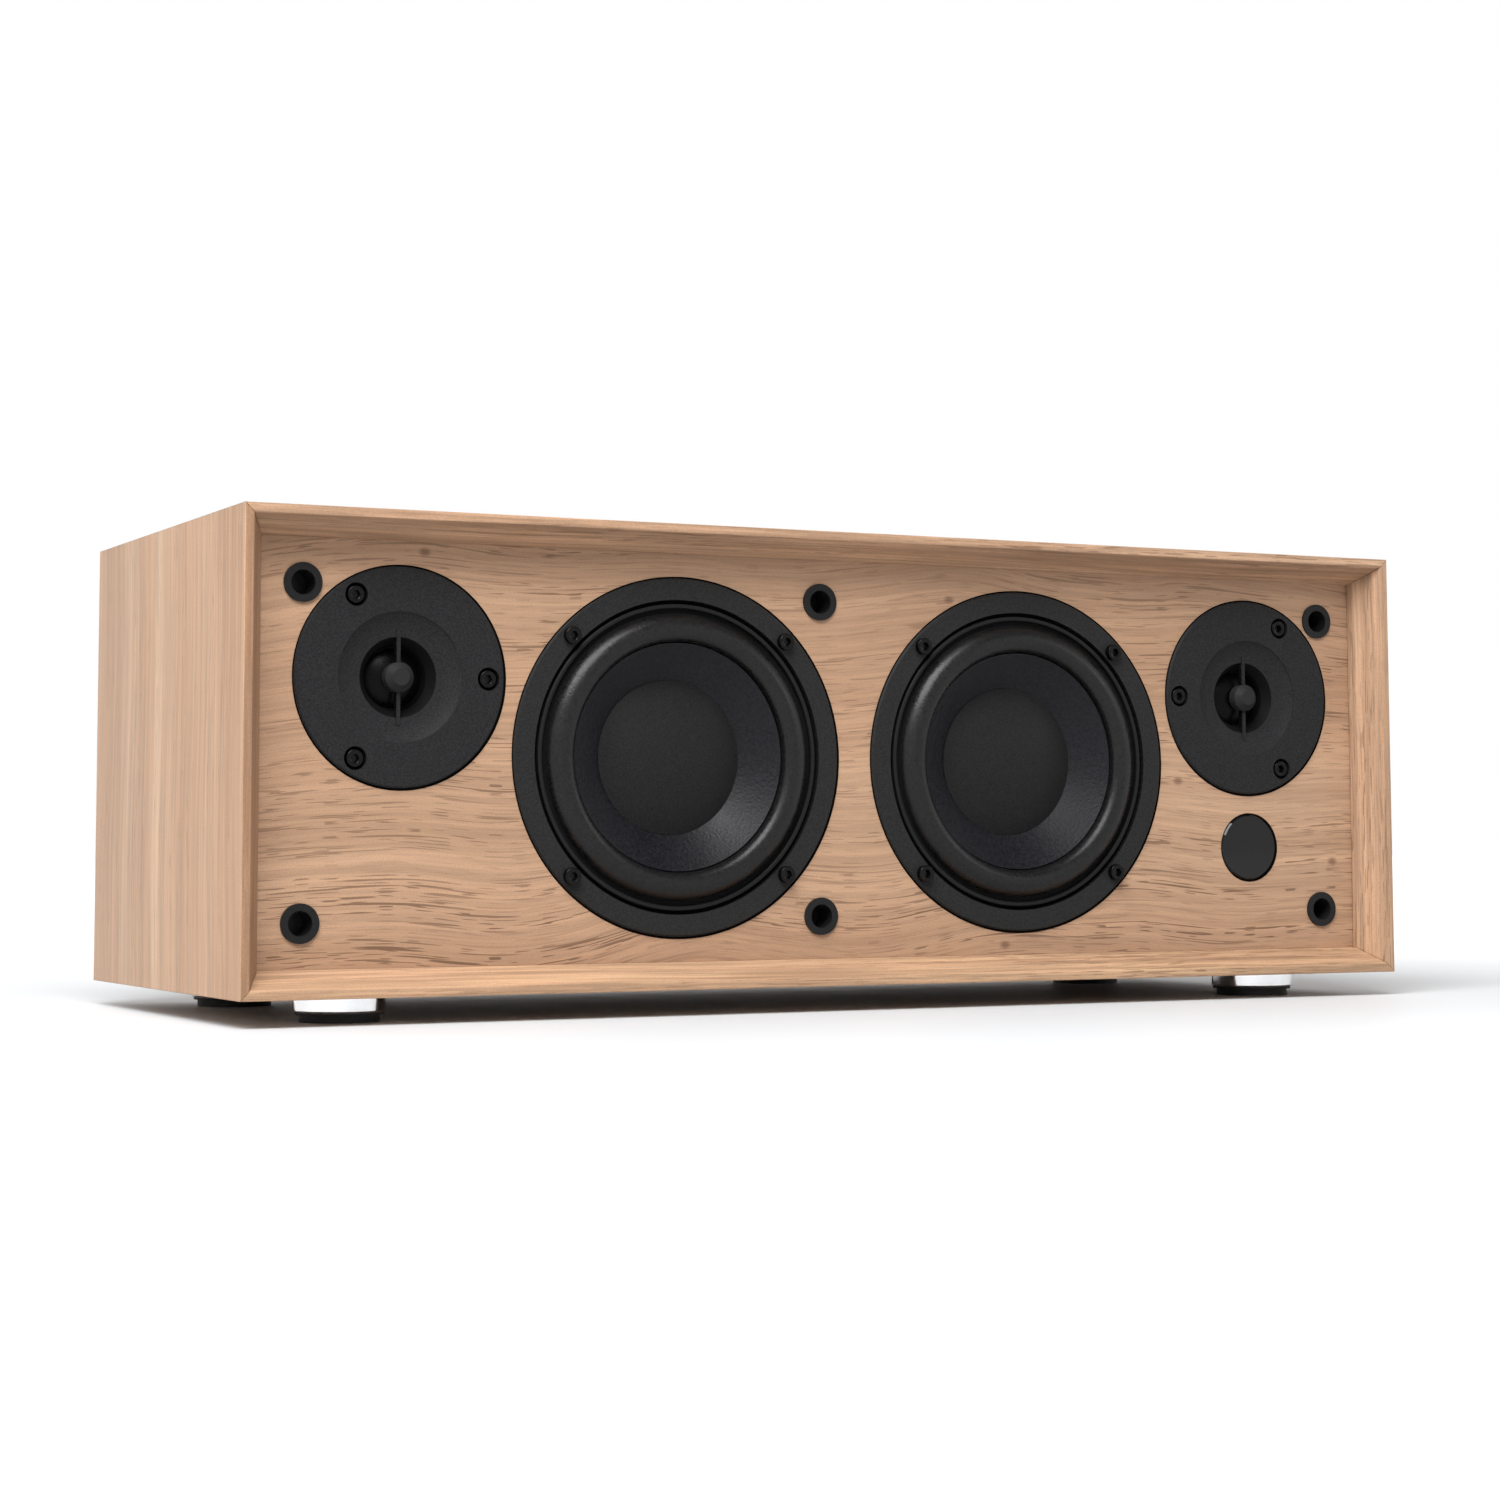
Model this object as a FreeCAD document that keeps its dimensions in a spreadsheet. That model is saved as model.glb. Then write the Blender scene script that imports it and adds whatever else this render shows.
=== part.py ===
import FreeCAD, Part
import os
import re
import Sketcher

# A tabletop stereo speaker: a mitred wooden box with a recessed baffle, two woofers, two dome tweeters,
# a remote window, grille sockets, four feet and the electronics behind the rear panel.
# The frame: X to the right, Y to the back, Z up; the origin is on the floor under the middle of the box.

# Driving sizes in millimetres: name, value, what it measures
SIZES = (
    ("cabinet_width", 432.0, "outside width of the box"),
    ("cabinet_height", 150.0, "outside height of the box, without feet"),
    ("cabinet_depth", 171.0, "outside depth of the box"),
    ("board_thickness", 8.5, "thickness of the four mitred boards"),
    ("front_land", 2.9, "flat left on the front edge of each board"),
    ("bevel_depth", 10.8, "how far back the front bevel runs"),
    ("groove_depth", 2.5, "depth of the grooves that hold baffle and rear panel"),
    ("groove_clearance", 0.1, "play of baffle and rear panel in their grooves"),
    ("baffle_recess", 13.3, "baffle front face behind the front edge"),
    ("baffle_thickness", 12.0, "thickness of the front baffle"),
    ("rear_recess", 14.0, "rear panel outer face in front of the back edge"),
    ("rear_thickness", 9.0, "thickness of the rear panel"),
    ("flange_proud", 1.0, "how far driver flanges stand out of the baffle"),
    ("rebate_clearance", 0.35, "shadow gap around a driver flange"),
    ("cutout_clearance", 0.5, "play of a driver body in its cut-out"),
    ("edge_chamfer", 0.5, "chamfer on the front edges of flanges and lens"),
    ("glue_gap", 0.3, "bond line between glued driver pieces"),
    ("magnet_gap", 0.5, "air gap on each side of a voice coil"),
    ("pilot_clearance", 0.1, "radial play of a screw shank in its hole"),
    ("tip_clearance", 0.4, "pilot hole beyond the screw tip"),
    ("woofer_extra", 4.4, "woofer flange radius beyond its share of the box width"),
    ("woofer_gap", 13.2, "gap between the two woofer flanges"),
    ("woofer_flange", 3.5, "woofer flange thickness"),
    ("woofer_flange_width", 7.1, "flat front width of the woofer flange"),
    ("woofer_seat", 6.4, "width of the woofer flange that bears on the baffle"),
    ("woofer_screw_inset", 3.9, "woofer screw circle inside the flange edge"),
    ("ring_groove", 1.0, "gap between woofer flange and trim ring"),
    ("trim_drop", 0.3, "trim ring front face behind the flange face"),
    ("trim_width", 2.1, "radial width of the trim ring"),
    ("trim_thickness", 1.7, "thickness of the trim ring"),
    ("roll_gap", 1.2, "valley between trim ring and surround roll"),
    ("roll_rise", 4.2, "height of the surround roll over its feet"),
    ("surround_thickness", 0.6, "rubber thickness of the surround"),
    ("ledge_width", 4.8, "width of the basket ledge under the surround"),
    ("cone_inset", 21.1, "cone edge inside the woofer flange edge"),
    ("cone_edge_depth", 0.6, "cone edge behind the flange face"),
    ("cone_depth", 17.0, "depth of the cone from edge to neck"),
    ("cone_thickness", 1.0, "cone thickness along the axis"),
    ("cap_radius", 25.4, "dust cap radius"),
    ("cap_rise", 5.0, "dust cap height"),
    ("cap_thickness", 0.7, "dust cap thickness"),
    ("coil_radius", 12.7, "inner radius of the woofer voice coil former"),
    ("former_thickness", 0.35, "wall of the voice coil former"),
    ("former_proud", 1.5, "former end in front of the cone neck"),
    ("winding_thickness", 0.6, "thickness of the voice coil winding"),
    ("winding_height", 10.0, "height of the voice coil winding"),
    ("spider_depth", 21.5, "spider seat behind the flange face"),
    ("spider_step", 2.0, "spider radius beyond the basket base"),
    ("spider_lip", 3.0, "flat width of the spider glued to its seat"),
    ("spider_wave", 1.2, "height of the spider corrugations"),
    ("spider_thickness", 0.6, "thickness of the spider cloth"),
    ("basket_straight", 4.5, "straight stretch of the basket behind the flange"),
    ("basket_depth", 33.0, "back face of the basket behind the flange face"),
    ("basket_floor", 2.0, "thickness of the basket floor"),
    ("base_inset", 24.4, "basket base inside the woofer flange edge"),
    ("basket_wall", 3.2, "radial wall of the basket at its base"),
    ("bore_margin", 1.0, "basket bore wider than the top plate bore"),
    ("window_step", 4.0, "basket windows outside the basket base"),
    ("window_margin", 1.5, "basket windows inside the surround ledge"),
    ("window_half_width", 20.0, "half width of a basket window"),
    ("plate_radius", 35.0, "radius of the woofer top plate and yoke"),
    ("top_plate", 5.0, "thickness of the woofer top plate"),
    ("magnet_radius", 37.5, "outer radius of the woofer magnet"),
    ("magnet_bore", 20.0, "inner radius of the woofer magnet"),
    ("magnet_thickness", 14.0, "thickness of the woofer magnet"),
    ("yoke_thickness", 5.0, "thickness of the yoke's back plate"),
    ("vent_radius", 4.0, "radius of the vent through the pole"),
    ("tweeter_margin", 19.8, "tweeter plate edge from the side of the box"),
    ("tweeter_rise", 23.8, "tweeter axis above the middle of the box"),
    ("tweeter_less", 1.3, "tweeter plate radius short of its share of the box width"),
    ("tweeter_flange", 3.5, "tweeter faceplate thickness"),
    ("tweeter_seat", 7.7, "width of the faceplate that bears on the baffle"),
    ("tweeter_screw_inset", 5.3, "tweeter screw circle inside the plate edge"),
    ("counterbore_radius", 3.7, "recess around a tweeter screw head"),
    ("counterbore_depth", 2.2, "depth of that recess"),
    ("dish_radius", 20.6, "outer radius of the shallow dish"),
    ("dish_step", 0.3, "small step at the rim of the dish"),
    ("dish_sag", 0.5, "hollow of the dish below a straight cone"),
    ("throat_radius", 12.7, "radius where the dish drops into the throat"),
    ("throat_depth", 2.6, "depth of that edge behind the plate face"),
    ("bowl_depth", 7.0, "end of the throat's taper behind the plate face"),
    ("boss_depth", 8.5, "back of the faceplate boss behind the plate face"),
    ("dome_radius", 9.5, "radius of the tweeter dome"),
    ("dome_rise", 2.8, "height of the tweeter dome"),
    ("dome_thickness", 0.5, "thickness of the diaphragm"),
    ("dome_rim", 15.0, "outer radius of the diaphragm rim"),
    ("blade_thickness", 1.2, "thickness of the bridge that carries the plug"),
    ("blade_reach", 15.0, "half length of the bridge"),
    ("blade_front", 2.0, "front edge of the bridge behind the plate face"),
    ("blade_depth", 2.4, "depth of the bridge"),
    ("plug_radius", 4.7, "radius of the phase plug"),
    ("plug_face", 2.7, "radius of the plug's flat front"),
    ("plug_proud", 0.8, "plug front in front of the plate face"),
    ("plug_taper", 2.0, "length of the plug's conical nose"),
    ("tweeter_coil_wall", 0.6, "wall of the tweeter voice coil"),
    ("tweeter_coil_length", 4.5, "length of the tweeter voice coil"),
    ("tweeter_plate_inset", 2.5, "tweeter top and back plates inside the boss"),
    ("tweeter_top_plate", 3.0, "thickness of the tweeter top plate"),
    ("tweeter_magnet_inset", 1.0, "tweeter magnet inside the boss"),
    ("tweeter_magnet_bore", 14.0, "inner radius of the tweeter magnet"),
    ("tweeter_magnet_thickness", 8.0, "thickness of the tweeter magnet"),
    ("tweeter_back_plate", 3.0, "thickness of the tweeter back plate"),
    ("driver_head_radius", 2.8, "head radius of the driver screws"),
    ("driver_head_height", 2.2, "head height of the woofer screws"),
    ("tweeter_head_height", 1.9, "head height of the tweeter screws"),
    ("driver_shank_radius", 1.6, "shank radius of the driver screws"),
    ("driver_shank_length", 11.0, "shank length of the woofer screws"),
    ("tweeter_shank_length", 8.5, "shank length of the tweeter screws"),
    ("hex_radius", 1.5, "corner radius of the hexagon socket in a head"),
    ("hex_depth", 1.3, "depth of the hexagon socket"),
    ("socket_inset", 22.6, "outer grille sockets from the sides of the box"),
    ("socket_middle", 12.8, "middle grille sockets, left of the middle"),
    ("socket_rise", 52.4, "grille sockets above and below the middle"),
    ("socket_flange_radius", 6.2, "flange radius of a grille socket"),
    ("socket_flange", 0.8, "flange thickness of a grille socket"),
    ("socket_barrel", 5.0, "barrel radius of a grille socket"),
    ("socket_bore", 3.9, "bore radius of a grille socket"),
    ("socket_length", 11.0, "barrel length of a grille socket"),
    ("socket_floor", 2.0, "closed end of a grille socket"),
    ("lens_shift", 0.2, "remote window outside the tweeter axis"),
    ("lens_drop", 29.9, "remote window below the middle of the box"),
    ("lens_radius", 11.6, "radius of the remote window"),
    ("lens_thickness", 2.5, "thickness of the remote window"),
    ("lens_proud", 0.6, "remote window front in front of the baffle"),
    ("lens_clearance", 0.15, "play around the remote window"),
    ("lens_hole", 8.0, "radius of the hole behind the remote window"),
    ("receiver_width", 24.0, "width of the receiver board"),
    ("receiver_height", 20.0, "height of the receiver board"),
    ("circuit_board", 1.6, "thickness of the circuit boards"),
    ("sensor_width", 6.0, "width of the infrared sensor"),
    ("sensor_height", 8.0, "height of the infrared sensor"),
    ("sensor_length", 5.0, "length of the infrared sensor"),
    ("foot_side_inset", 41.5, "feet inside the sides of the box"),
    ("foot_inset", 30.3, "feet inside the front and back edges"),
    ("cup_radius", 14.5, "radius of a foot's chromed cup"),
    ("cup_height", 5.3, "height of a foot's chromed cup"),
    ("cup_chamfer", 0.6, "chamfer on the cup's edges"),
    ("cup_recess", 12.0, "radius of the hollow under the cup"),
    ("cup_web", 1.4, "floor of the cup that the screw clamps"),
    ("pad_height", 3.1, "rubber below the cup"),
    ("pad_shoulder", 13.9, "radius of the rubber's upper step"),
    ("pad_shoulder_height", 0.8, "height of the rubber's upper step"),
    ("pad_radius", 12.6, "radius of the rubber on the floor"),
    ("pad_plug", 1.8, "height of the rubber inside the cup"),
    ("pad_clearance", 0.1, "play of the rubber in the cup"),
    ("foot_head_radius", 3.4, "head radius of the foot screws"),
    ("foot_head_height", 1.8, "head height of the foot screws"),
    ("foot_shank_radius", 1.7, "shank radius of the foot screws"),
    ("foot_shank_length", 7.0, "shank length of the foot screws"),
    ("connector_drop", 20.0, "connector plate below the middle of the box"),
    ("connector_width", 150.0, "width of the connector plate"),
    ("connector_height", 58.0, "height of the connector plate"),
    ("connector_plate", 2.5, "thickness of the connector plate"),
    ("connector_lap", 9.0, "lap of the connector plate on the rear panel"),
    ("plate_screw_inset", 4.5, "plate screws inside the plate's edges"),
    ("plate_head_radius", 2.6, "head radius of the plate screws"),
    ("plate_head_height", 1.8, "head height of the plate screws"),
    ("plate_shank_radius", 1.4, "shank radius of the plate screws"),
    ("plate_shank_length", 9.0, "shank length of the plate screws"),
    ("pillar_radius", 3.2, "radius of the board pillars on the plate"),
    ("pillar_length", 14.0, "length of the board pillars"),
    ("pillar_inset", 5.0, "pillars inside the amplifier board's edges"),
    ("amp_width", 122.0, "width of the amplifier board"),
    ("amp_height", 36.0, "height of the amplifier board"),
    ("inlet_offset", 34.0, "mains inlet right of the plate's middle"),
    ("inlet_span", 9.0, "straight width of the mains inlet"),
    ("inlet_radius", 4.9, "round ends of the mains inlet"),
    ("inlet_flange", 1.5, "thickness of the inlet's flange"),
    ("inlet_lip", 2.0, "inlet flange beyond the inlet's body"),
    ("inlet_wall", 1.0, "wall of the mains inlet"),
    ("inlet_depth", 12.0, "depth of the mains inlet's cavity"),
    ("inlet_clearance", 0.1, "play of inlet and jacks in the plate"),
    ("pin_radius", 1.2, "radius of the inlet's contact pins"),
    ("pin_length", 9.0, "length of the inlet's contact pins"),
    ("pin_spacing", 8.6, "distance between the contact pins"),
    ("jack_offset", 30.0, "line-in jacks left of the plate's middle"),
    ("jack_spacing", 14.0, "distance between the line-in jacks"),
    ("jack_radius", 4.15, "outer radius of a line-in jack"),
    ("jack_bore", 1.7, "bore radius of a line-in jack"),
    ("jack_reach", 8.5, "line-in jacks in front of the plate"),
    ("jack_depth", 8.0, "depth of the bore in a line-in jack"),
    ("jack_margin", 1.5, "jack block beyond its jacks"),
    ("transformer_offset", 22.0, "transformer right of the board's middle"),
    ("transformer_core", 30.0, "width of the transformer core"),
    ("transformer_core_height", 12.0, "height of the transformer core"),
    ("transformer_winding", 20.0, "width of the transformer winding"),
    ("transformer_winding_height", 24.0, "height of the transformer winding"),
    ("transformer_length", 22.0, "transformer standing off its board"),
    ("capacitor_offset", 26.0, "capacitors left of the board's middle"),
    ("capacitor_spacing", 20.0, "distance between the two capacitors"),
    ("capacitor_radius", 8.0, "radius of a filter capacitor"),
    ("capacitor_length", 25.0, "length of a filter capacitor"),
)

# Places that several pieces share, written with the names above
BOX_FLOOR = "(cup_height + pad_height)"
MIDDLE = f"({BOX_FLOOR} + cabinet_height / 2)"
FRONT = "(-cabinet_depth / 2)"
BAFFLE = f"({FRONT} + baffle_recess)"
DRIVER = f"({BAFFLE} - flange_proud)"
REAR = "(cabinet_depth / 2 - rear_recess)"
CONNECTOR = f"({MIDDLE} - connector_drop)"
PANEL_HALF_WIDTH = "(cabinet_width / 2 - board_thickness + groove_depth - groove_clearance)"
PANEL_HALF_HEIGHT = "(cabinet_height / 2 - board_thickness + groove_depth - groove_clearance)"

# Driver sizes and the row that they stand in: their flanges take a share of the box width
WOOFER_SHARE = 8
TWEETER_SHARE = 12
WOOFER_RADIUS = f"(cabinet_width / {WOOFER_SHARE} + woofer_extra)"
TWEETER_RADIUS = f"(cabinet_width / {TWEETER_SHARE} - tweeter_less)"
WOOFER_X = f"({WOOFER_RADIUS} + woofer_gap / 2)"
TWEETER_X = f"(cabinet_width / 2 - tweeter_margin - {TWEETER_RADIUS})"
LENS_X = f"({TWEETER_X} + lens_shift)"
SOCKET_X = "(cabinet_width / 2 - socket_inset)"
FOOT_X = "(cabinet_width / 2 - foot_side_inset)"

# Woofer stations, measured from its axis and from its flange face
FLANGE_BORE = f"({WOOFER_RADIUS} - woofer_flange_width)"
WOOFER_BODY = f"({WOOFER_RADIUS} - woofer_seat - cutout_clearance)"
WOOFER_SCREWS = f"({WOOFER_RADIUS} - woofer_screw_inset)"
LIP_FACE = "(trim_drop + trim_thickness)"
LEDGE = f"({LIP_FACE} + surround_thickness)"
LEDGE_BORE = f"({FLANGE_BORE} - ledge_width)"
TRIM_OUTER = f"({FLANGE_BORE} - ring_groove)"
TRIM_INNER = f"({TRIM_OUTER} - trim_width)"
ROLL_OUTER = f"({TRIM_INNER} - roll_gap)"
CONE_RADIUS = f"({WOOFER_RADIUS} - cone_inset)"
ROLL_INNER = f"({CONE_RADIUS} + glue_gap)"
FORMER = "(coil_radius + former_thickness)"
NECK = f"({FORMER} + glue_gap)"
WINDING = f"({FORMER} + winding_thickness)"
PLATE_BORE = f"({WINDING} + magnet_gap)"
POLE = "(coil_radius - magnet_gap)"
CONE_NECK_DEPTH = "(cone_edge_depth + cone_depth)"
CAP_SEAT = f"(cone_edge_depth + cone_depth * ({CONE_RADIUS} - cap_radius) / ({CONE_RADIUS} - {NECK}))"
CAP_RIM = f"({CAP_SEAT} - glue_gap / 2)"
WINDING_MIDDLE = "(basket_depth + top_plate / 2)"
MAGNET_FACE = "(basket_depth + top_plate)"
YOKE_FACE = f"({MAGNET_FACE} + magnet_thickness)"
SPIDER_INNER = f"({FORMER} + glue_gap)"
BASKET_BASE = f"({WOOFER_RADIUS} - base_inset)"
SPIDER_RADIUS = f"({BASKET_BASE} + spider_step)"
SPIDER_SEAT = f"({SPIDER_RADIUS} - spider_lip)"
WINDOW_INNER = f"({BASKET_BASE} + window_step)"
WINDOW_OUTER = f"({LEDGE_BORE} - window_margin)"

# Tweeter stations, measured from its axis and from its plate face
TWEETER_BODY = f"({TWEETER_RADIUS} - tweeter_seat - cutout_clearance)"
TWEETER_SCREWS = f"({TWEETER_RADIUS} - tweeter_screw_inset)"
DOME_BORE = "(dome_radius + glue_gap)"
DOME_BACK = "(boss_depth + dome_thickness)"
TWEETER_COIL = "(dome_radius - tweeter_coil_wall)"
TWEETER_BORE = "(dome_radius + magnet_gap)"
TWEETER_POLE = f"({TWEETER_COIL} - magnet_gap)"
TWEETER_MAGNET_FACE = f"({DOME_BACK} + tweeter_top_plate)"
TWEETER_BACK_FACE = f"({TWEETER_MAGNET_FACE} + tweeter_magnet_thickness)"
TWEETER_PLATE = f"({TWEETER_BODY} - tweeter_plate_inset)"
TWEETER_MAGNET = f"({TWEETER_BODY} - tweeter_magnet_inset)"

WOOFER_ANGLES = (45, 135, 225, 315)
TWEETER_ANGLES = {"left": (0, 120, 240), "right": (60, 180, 300)}
SIDES = {"left": "-1", "right": "1"}

doc = FreeCAD.newDocument("tabletop_speaker")
sheet = doc.addObject("Spreadsheet::Sheet", "Sizes")
for row, (alias, millimetres, note) in enumerate(SIZES, start=1):
    sheet.set(f"A{row}", note)
    sheet.set(f"B{row}", str(millimetres))
    sheet.setAlias(f"B{row}", alias)
doc.recompute()
ALIASES = {alias for alias, millimetres, note in SIZES}
SUB_PARTS = []


# Sheet and sketch helpers


def cells(text):
    """The expression with each size name pointing at its cell."""
    return re.sub(r"[a-z_]+", lambda m: f"Sizes.{m[0]}" if m[0] in ALIASES else m[0], text)


def value(text):
    """The expression's present value in millimetres."""
    return float(sheet.evalExpression(cells(text)))


def origin(body, role):
    """An origin plane or axis of the body, found by its role."""
    return next(feature for feature in body.Origin.OriginFeatures if feature.Role == role)


def new_body(label, x="0", y="0", z="0", axis=(0, 1, 0), turn=0):
    """A body placed in the speaker's frame and turned about one axis; its place is bound to the sheet."""
    body = doc.addObject("PartDesign::Body", label)
    body.Label = label
    rotation = FreeCAD.Rotation(FreeCAD.Vector(*axis), turn)
    body.Placement = FreeCAD.Placement(FreeCAD.Vector(value(x), value(y), value(z)), rotation)
    for name, text in (("x", x), ("y", y), ("z", z)):
        body.setExpression(f"Placement.Base.{name}", cells(text))
    return body


def new_sketch(body, plane, offset="0"):
    """A sketch on one of the body's origin planes, or a distance off it along the plane's normal."""
    sketch = body.newObject("Sketcher::SketchObject", "Sketch")
    sketch.AttachmentSupport = [(origin(body, plane), "")]
    sketch.MapMode = "FlatFace"
    if offset != "0":
        sketch.setExpression("AttachmentOffset.Base.z", cells(offset))
    return sketch


def drive(sketch, kind, text, *where):
    """A driving dimension bound to the sheet."""
    index = sketch.addConstraint(Sketcher.Constraint(kind, *where, value(text)))
    sketch.setExpression(f"Constraints[{index}]", cells(text))


def hold(sketch, element, point, u, v):
    """Holds a point of the sketch at u, v from the sketch origin."""
    drive(sketch, "DistanceX", u, -1, 1, element, point)
    drive(sketch, "DistanceY", v, -1, 1, element, point)


def arc_through(start, end, radius, side):
    """The short arc of that radius from start to end, bulging to the left (1) or right (-1) of the way."""
    chord = end - start
    middle = (start + end) * 0.5
    normal = FreeCAD.Vector(-chord.y, chord.x, 0).normalize() * side
    sag = radius - max(radius**2 - (chord.Length / 2) ** 2, 0) ** 0.5
    return Part.Arc(start, middle + normal * sag, end)


def outline(sketch, corners):
    """A closed outline through the corners. A corner with a radius and a side starts an arc."""
    points = [FreeCAD.Vector(value(corner[0]), value(corner[1]), 0) for corner in corners]
    first = sketch.GeometryCount
    ends = []
    for i, corner in enumerate(corners):
        start, end = points[i], points[(i + 1) % len(points)]
        if len(corner) == 2:
            sketch.addGeometry(Part.LineSegment(start, end), False)
            ends.append((1, 2))
            continue
        arc = arc_through(start, end, value(corner[2]), corner[3])
        element = sketch.addGeometry(arc, False)
        begins = (sketch.getPoint(element, 1) - start).Length < (sketch.getPoint(element, 2) - start).Length
        ends.append((1, 2) if begins else (2, 1))
    for i, corner in enumerate(corners):
        after = (i + 1) % len(corners)
        joint = Sketcher.Constraint("Coincident", first + i, ends[i][1], first + after, ends[after][0])
        sketch.addConstraint(joint)
        hold(sketch, first + i, ends[i][0], corner[0], corner[1])
        if len(corner) > 2:
            drive(sketch, "Radius", corner[2], first + i)


def circle(sketch, u, v, radius):
    """A circle with its centre at u, v."""
    centre = FreeCAD.Vector(value(u), value(v), 0)
    round_edge = Part.Circle(centre, FreeCAD.Vector(0, 0, 1), value(radius))
    element = sketch.addGeometry(round_edge, False)
    hold(sketch, element, 3, u, v)
    drive(sketch, "Radius", radius, element)


def rectangle(sketch, left, right, low, high):
    """A rectangle between two columns and two rows."""
    outline(sketch, [(left, low), (right, low), (right, high), (left, high)])


def stadium(sketch, u, v, span, radius):
    """A slot shape: a straight middle and two round ends."""
    right, left = f"({u} + {span} / 2)", f"({u} - {span} / 2)"
    low, high = f"({v} - {radius})", f"({v} + {radius})"
    first = sketch.GeometryCount
    corners = [(left, low), (right, low), (right, high), (left, high)]
    points = [FreeCAD.Vector(value(a), value(b), 0) for a, b in corners]
    reach = FreeCAD.Vector(value(radius), 0, 0)
    sketch.addGeometry(Part.LineSegment(points[0], points[1]), False)
    sketch.addGeometry(Part.Arc(points[1], (points[1] + points[2]) * 0.5 + reach, points[2]), False)
    sketch.addGeometry(Part.LineSegment(points[2], points[3]), False)
    sketch.addGeometry(Part.Arc(points[3], (points[3] + points[0]) * 0.5 - reach, points[0]), False)
    for i in range(4):
        sketch.addConstraint(Sketcher.Constraint("Tangent", first + i, 2, first + (i + 1) % 4, 1))
    hold(sketch, first + 1, 3, right, v)
    drive(sketch, "DistanceX", left, -1, 1, first + 3, 3)
    drive(sketch, "Radius", radius, first + 1)


# Feature helpers


def revolve(body, plane, corners):
    """Turns an outline about the sketch's upright axis."""
    sketch = new_sketch(body, plane)
    outline(sketch, corners)
    turned = body.newObject("PartDesign::Revolution", "Revolution")
    turned.Profile = sketch
    turned.ReferenceAxis = (sketch, ["V_Axis"])
    turned.Angle = 360
    return turned


def pad(body, sketch, length, reverse=False, symmetric=False):
    """Raises the sketch along its normal, against it, or to both sides."""
    raised = body.newObject("PartDesign::Pad", "Pad")
    raised.Profile = sketch
    raised.Reversed = reverse
    if symmetric:
        raised.SideType = "Symmetric"
    raised.setExpression("Length", cells(length))
    return raised


def pocket(body, sketch, depth=None, reverse=False):
    """Cuts the sketch against its normal, to a depth or right through, and makes sure that it cut."""
    doc.recompute()
    before = body.Tip.Shape.Volume
    cut = body.newObject("PartDesign::Pocket", "Pocket")
    cut.Profile = sketch
    cut.Reversed = reverse
    if depth is None:
        cut.Type = "ThroughAll"
    else:
        cut.setExpression("Length", cells(depth))
    doc.recompute()
    if not cut.Shape.Volume < before:
        raise RuntimeError(f"a pocket of {body.Label} cuts nothing")
    return cut


def keep(sub_part):
    """Lists an object as a sub-part that is written to its own file."""
    SUB_PARTS.append(sub_part)
    return sub_part


def group(label, bodies):
    """Identical pieces that share one file."""
    compound = doc.addObject("Part::Compound", label)
    compound.Label = label
    compound.Links = bodies
    return keep(compound)


def around(radius, angle):
    """The two coordinates of a point on a circle about the origin."""
    return f"({radius} * cos({angle} deg))", f"({radius} * sin({angle} deg))"


def sagged(chord, rise):
    """The radius of an arc over a chord with a given rise."""
    return f"((({chord})^2 / 4 + ({rise})^2) / (2 * ({rise})))"


# The box: four mitred boards, the baffle and the rear panel


def board(label, length, x, z, turn):
    """One board, lying with its outer face down: bevelled and grooved along its length, then mitred."""
    body = new_body(label, x, FRONT, z, turn=turn)
    groove_floor = "(board_thickness - groove_depth)"
    rear_back = "(cabinet_depth - rear_recess)"
    rear_front = f"({rear_back} - rear_thickness - groove_clearance)"
    baffle_back = "(baffle_recess + baffle_thickness + groove_clearance)"
    section = new_sketch(body, "YZ_Plane")
    outline(section, [
        ("0", "0"), ("cabinet_depth", "0"), ("cabinet_depth", "board_thickness"),
        (rear_back, "board_thickness"), (rear_back, groove_floor),
        (rear_front, groove_floor), (rear_front, "board_thickness"),
        (baffle_back, "board_thickness"), (baffle_back, groove_floor),
        ("baffle_recess", groove_floor), ("baffle_recess", "board_thickness"),
        ("bevel_depth", "board_thickness"), ("0", "front_land"),
    ])
    pad(body, section, length, symmetric=True)
    mitres = new_sketch(body, "XZ_Plane")
    end = f"({length} / 2)"
    inner = f"({length} / 2 - board_thickness)"
    outline(mitres, [(end, "0"), (end, "board_thickness"), (inner, "board_thickness")])
    outline(mitres, [(f"-{end}", "0"), (f"-{inner}", "board_thickness"), (f"-{end}", "board_thickness")])
    pocket(body, mitres)
    return keep(body)


def foot_places():
    """The four feet, from the middle of the box."""
    far = "(cabinet_depth / 2 - foot_inset)"
    return [(x, y) for x in (f"-{FOOT_X}", FOOT_X) for y in (f"-{far}", far)]


board("top_panel", "cabinet_width", "0", f"({BOX_FLOOR} + cabinet_height)", 180)
board("left_panel", "cabinet_height", "(-cabinet_width / 2)", MIDDLE, 90)
board("right_panel", "cabinet_height", "(cabinet_width / 2)", MIDDLE, -90)
bottom = board("bottom_panel", "cabinet_width", "0", BOX_FLOOR, 0)
foot_pilots = new_sketch(bottom, "XY_Plane")
for x, y in foot_places():
    circle(foot_pilots, x, f"({y} + cabinet_depth / 2)", "(foot_shank_radius + pilot_clearance)")
pocket(bottom, foot_pilots, "(foot_shank_length - cup_web + tip_clearance)", reverse=True)


def socket_places():
    """The six grille sockets, from the middle of the baffle."""
    columns = (f"-{SOCKET_X}", "-socket_middle", SOCKET_X)
    return [(x, z) for x in columns for z in ("-socket_rise", "socket_rise")]


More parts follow.
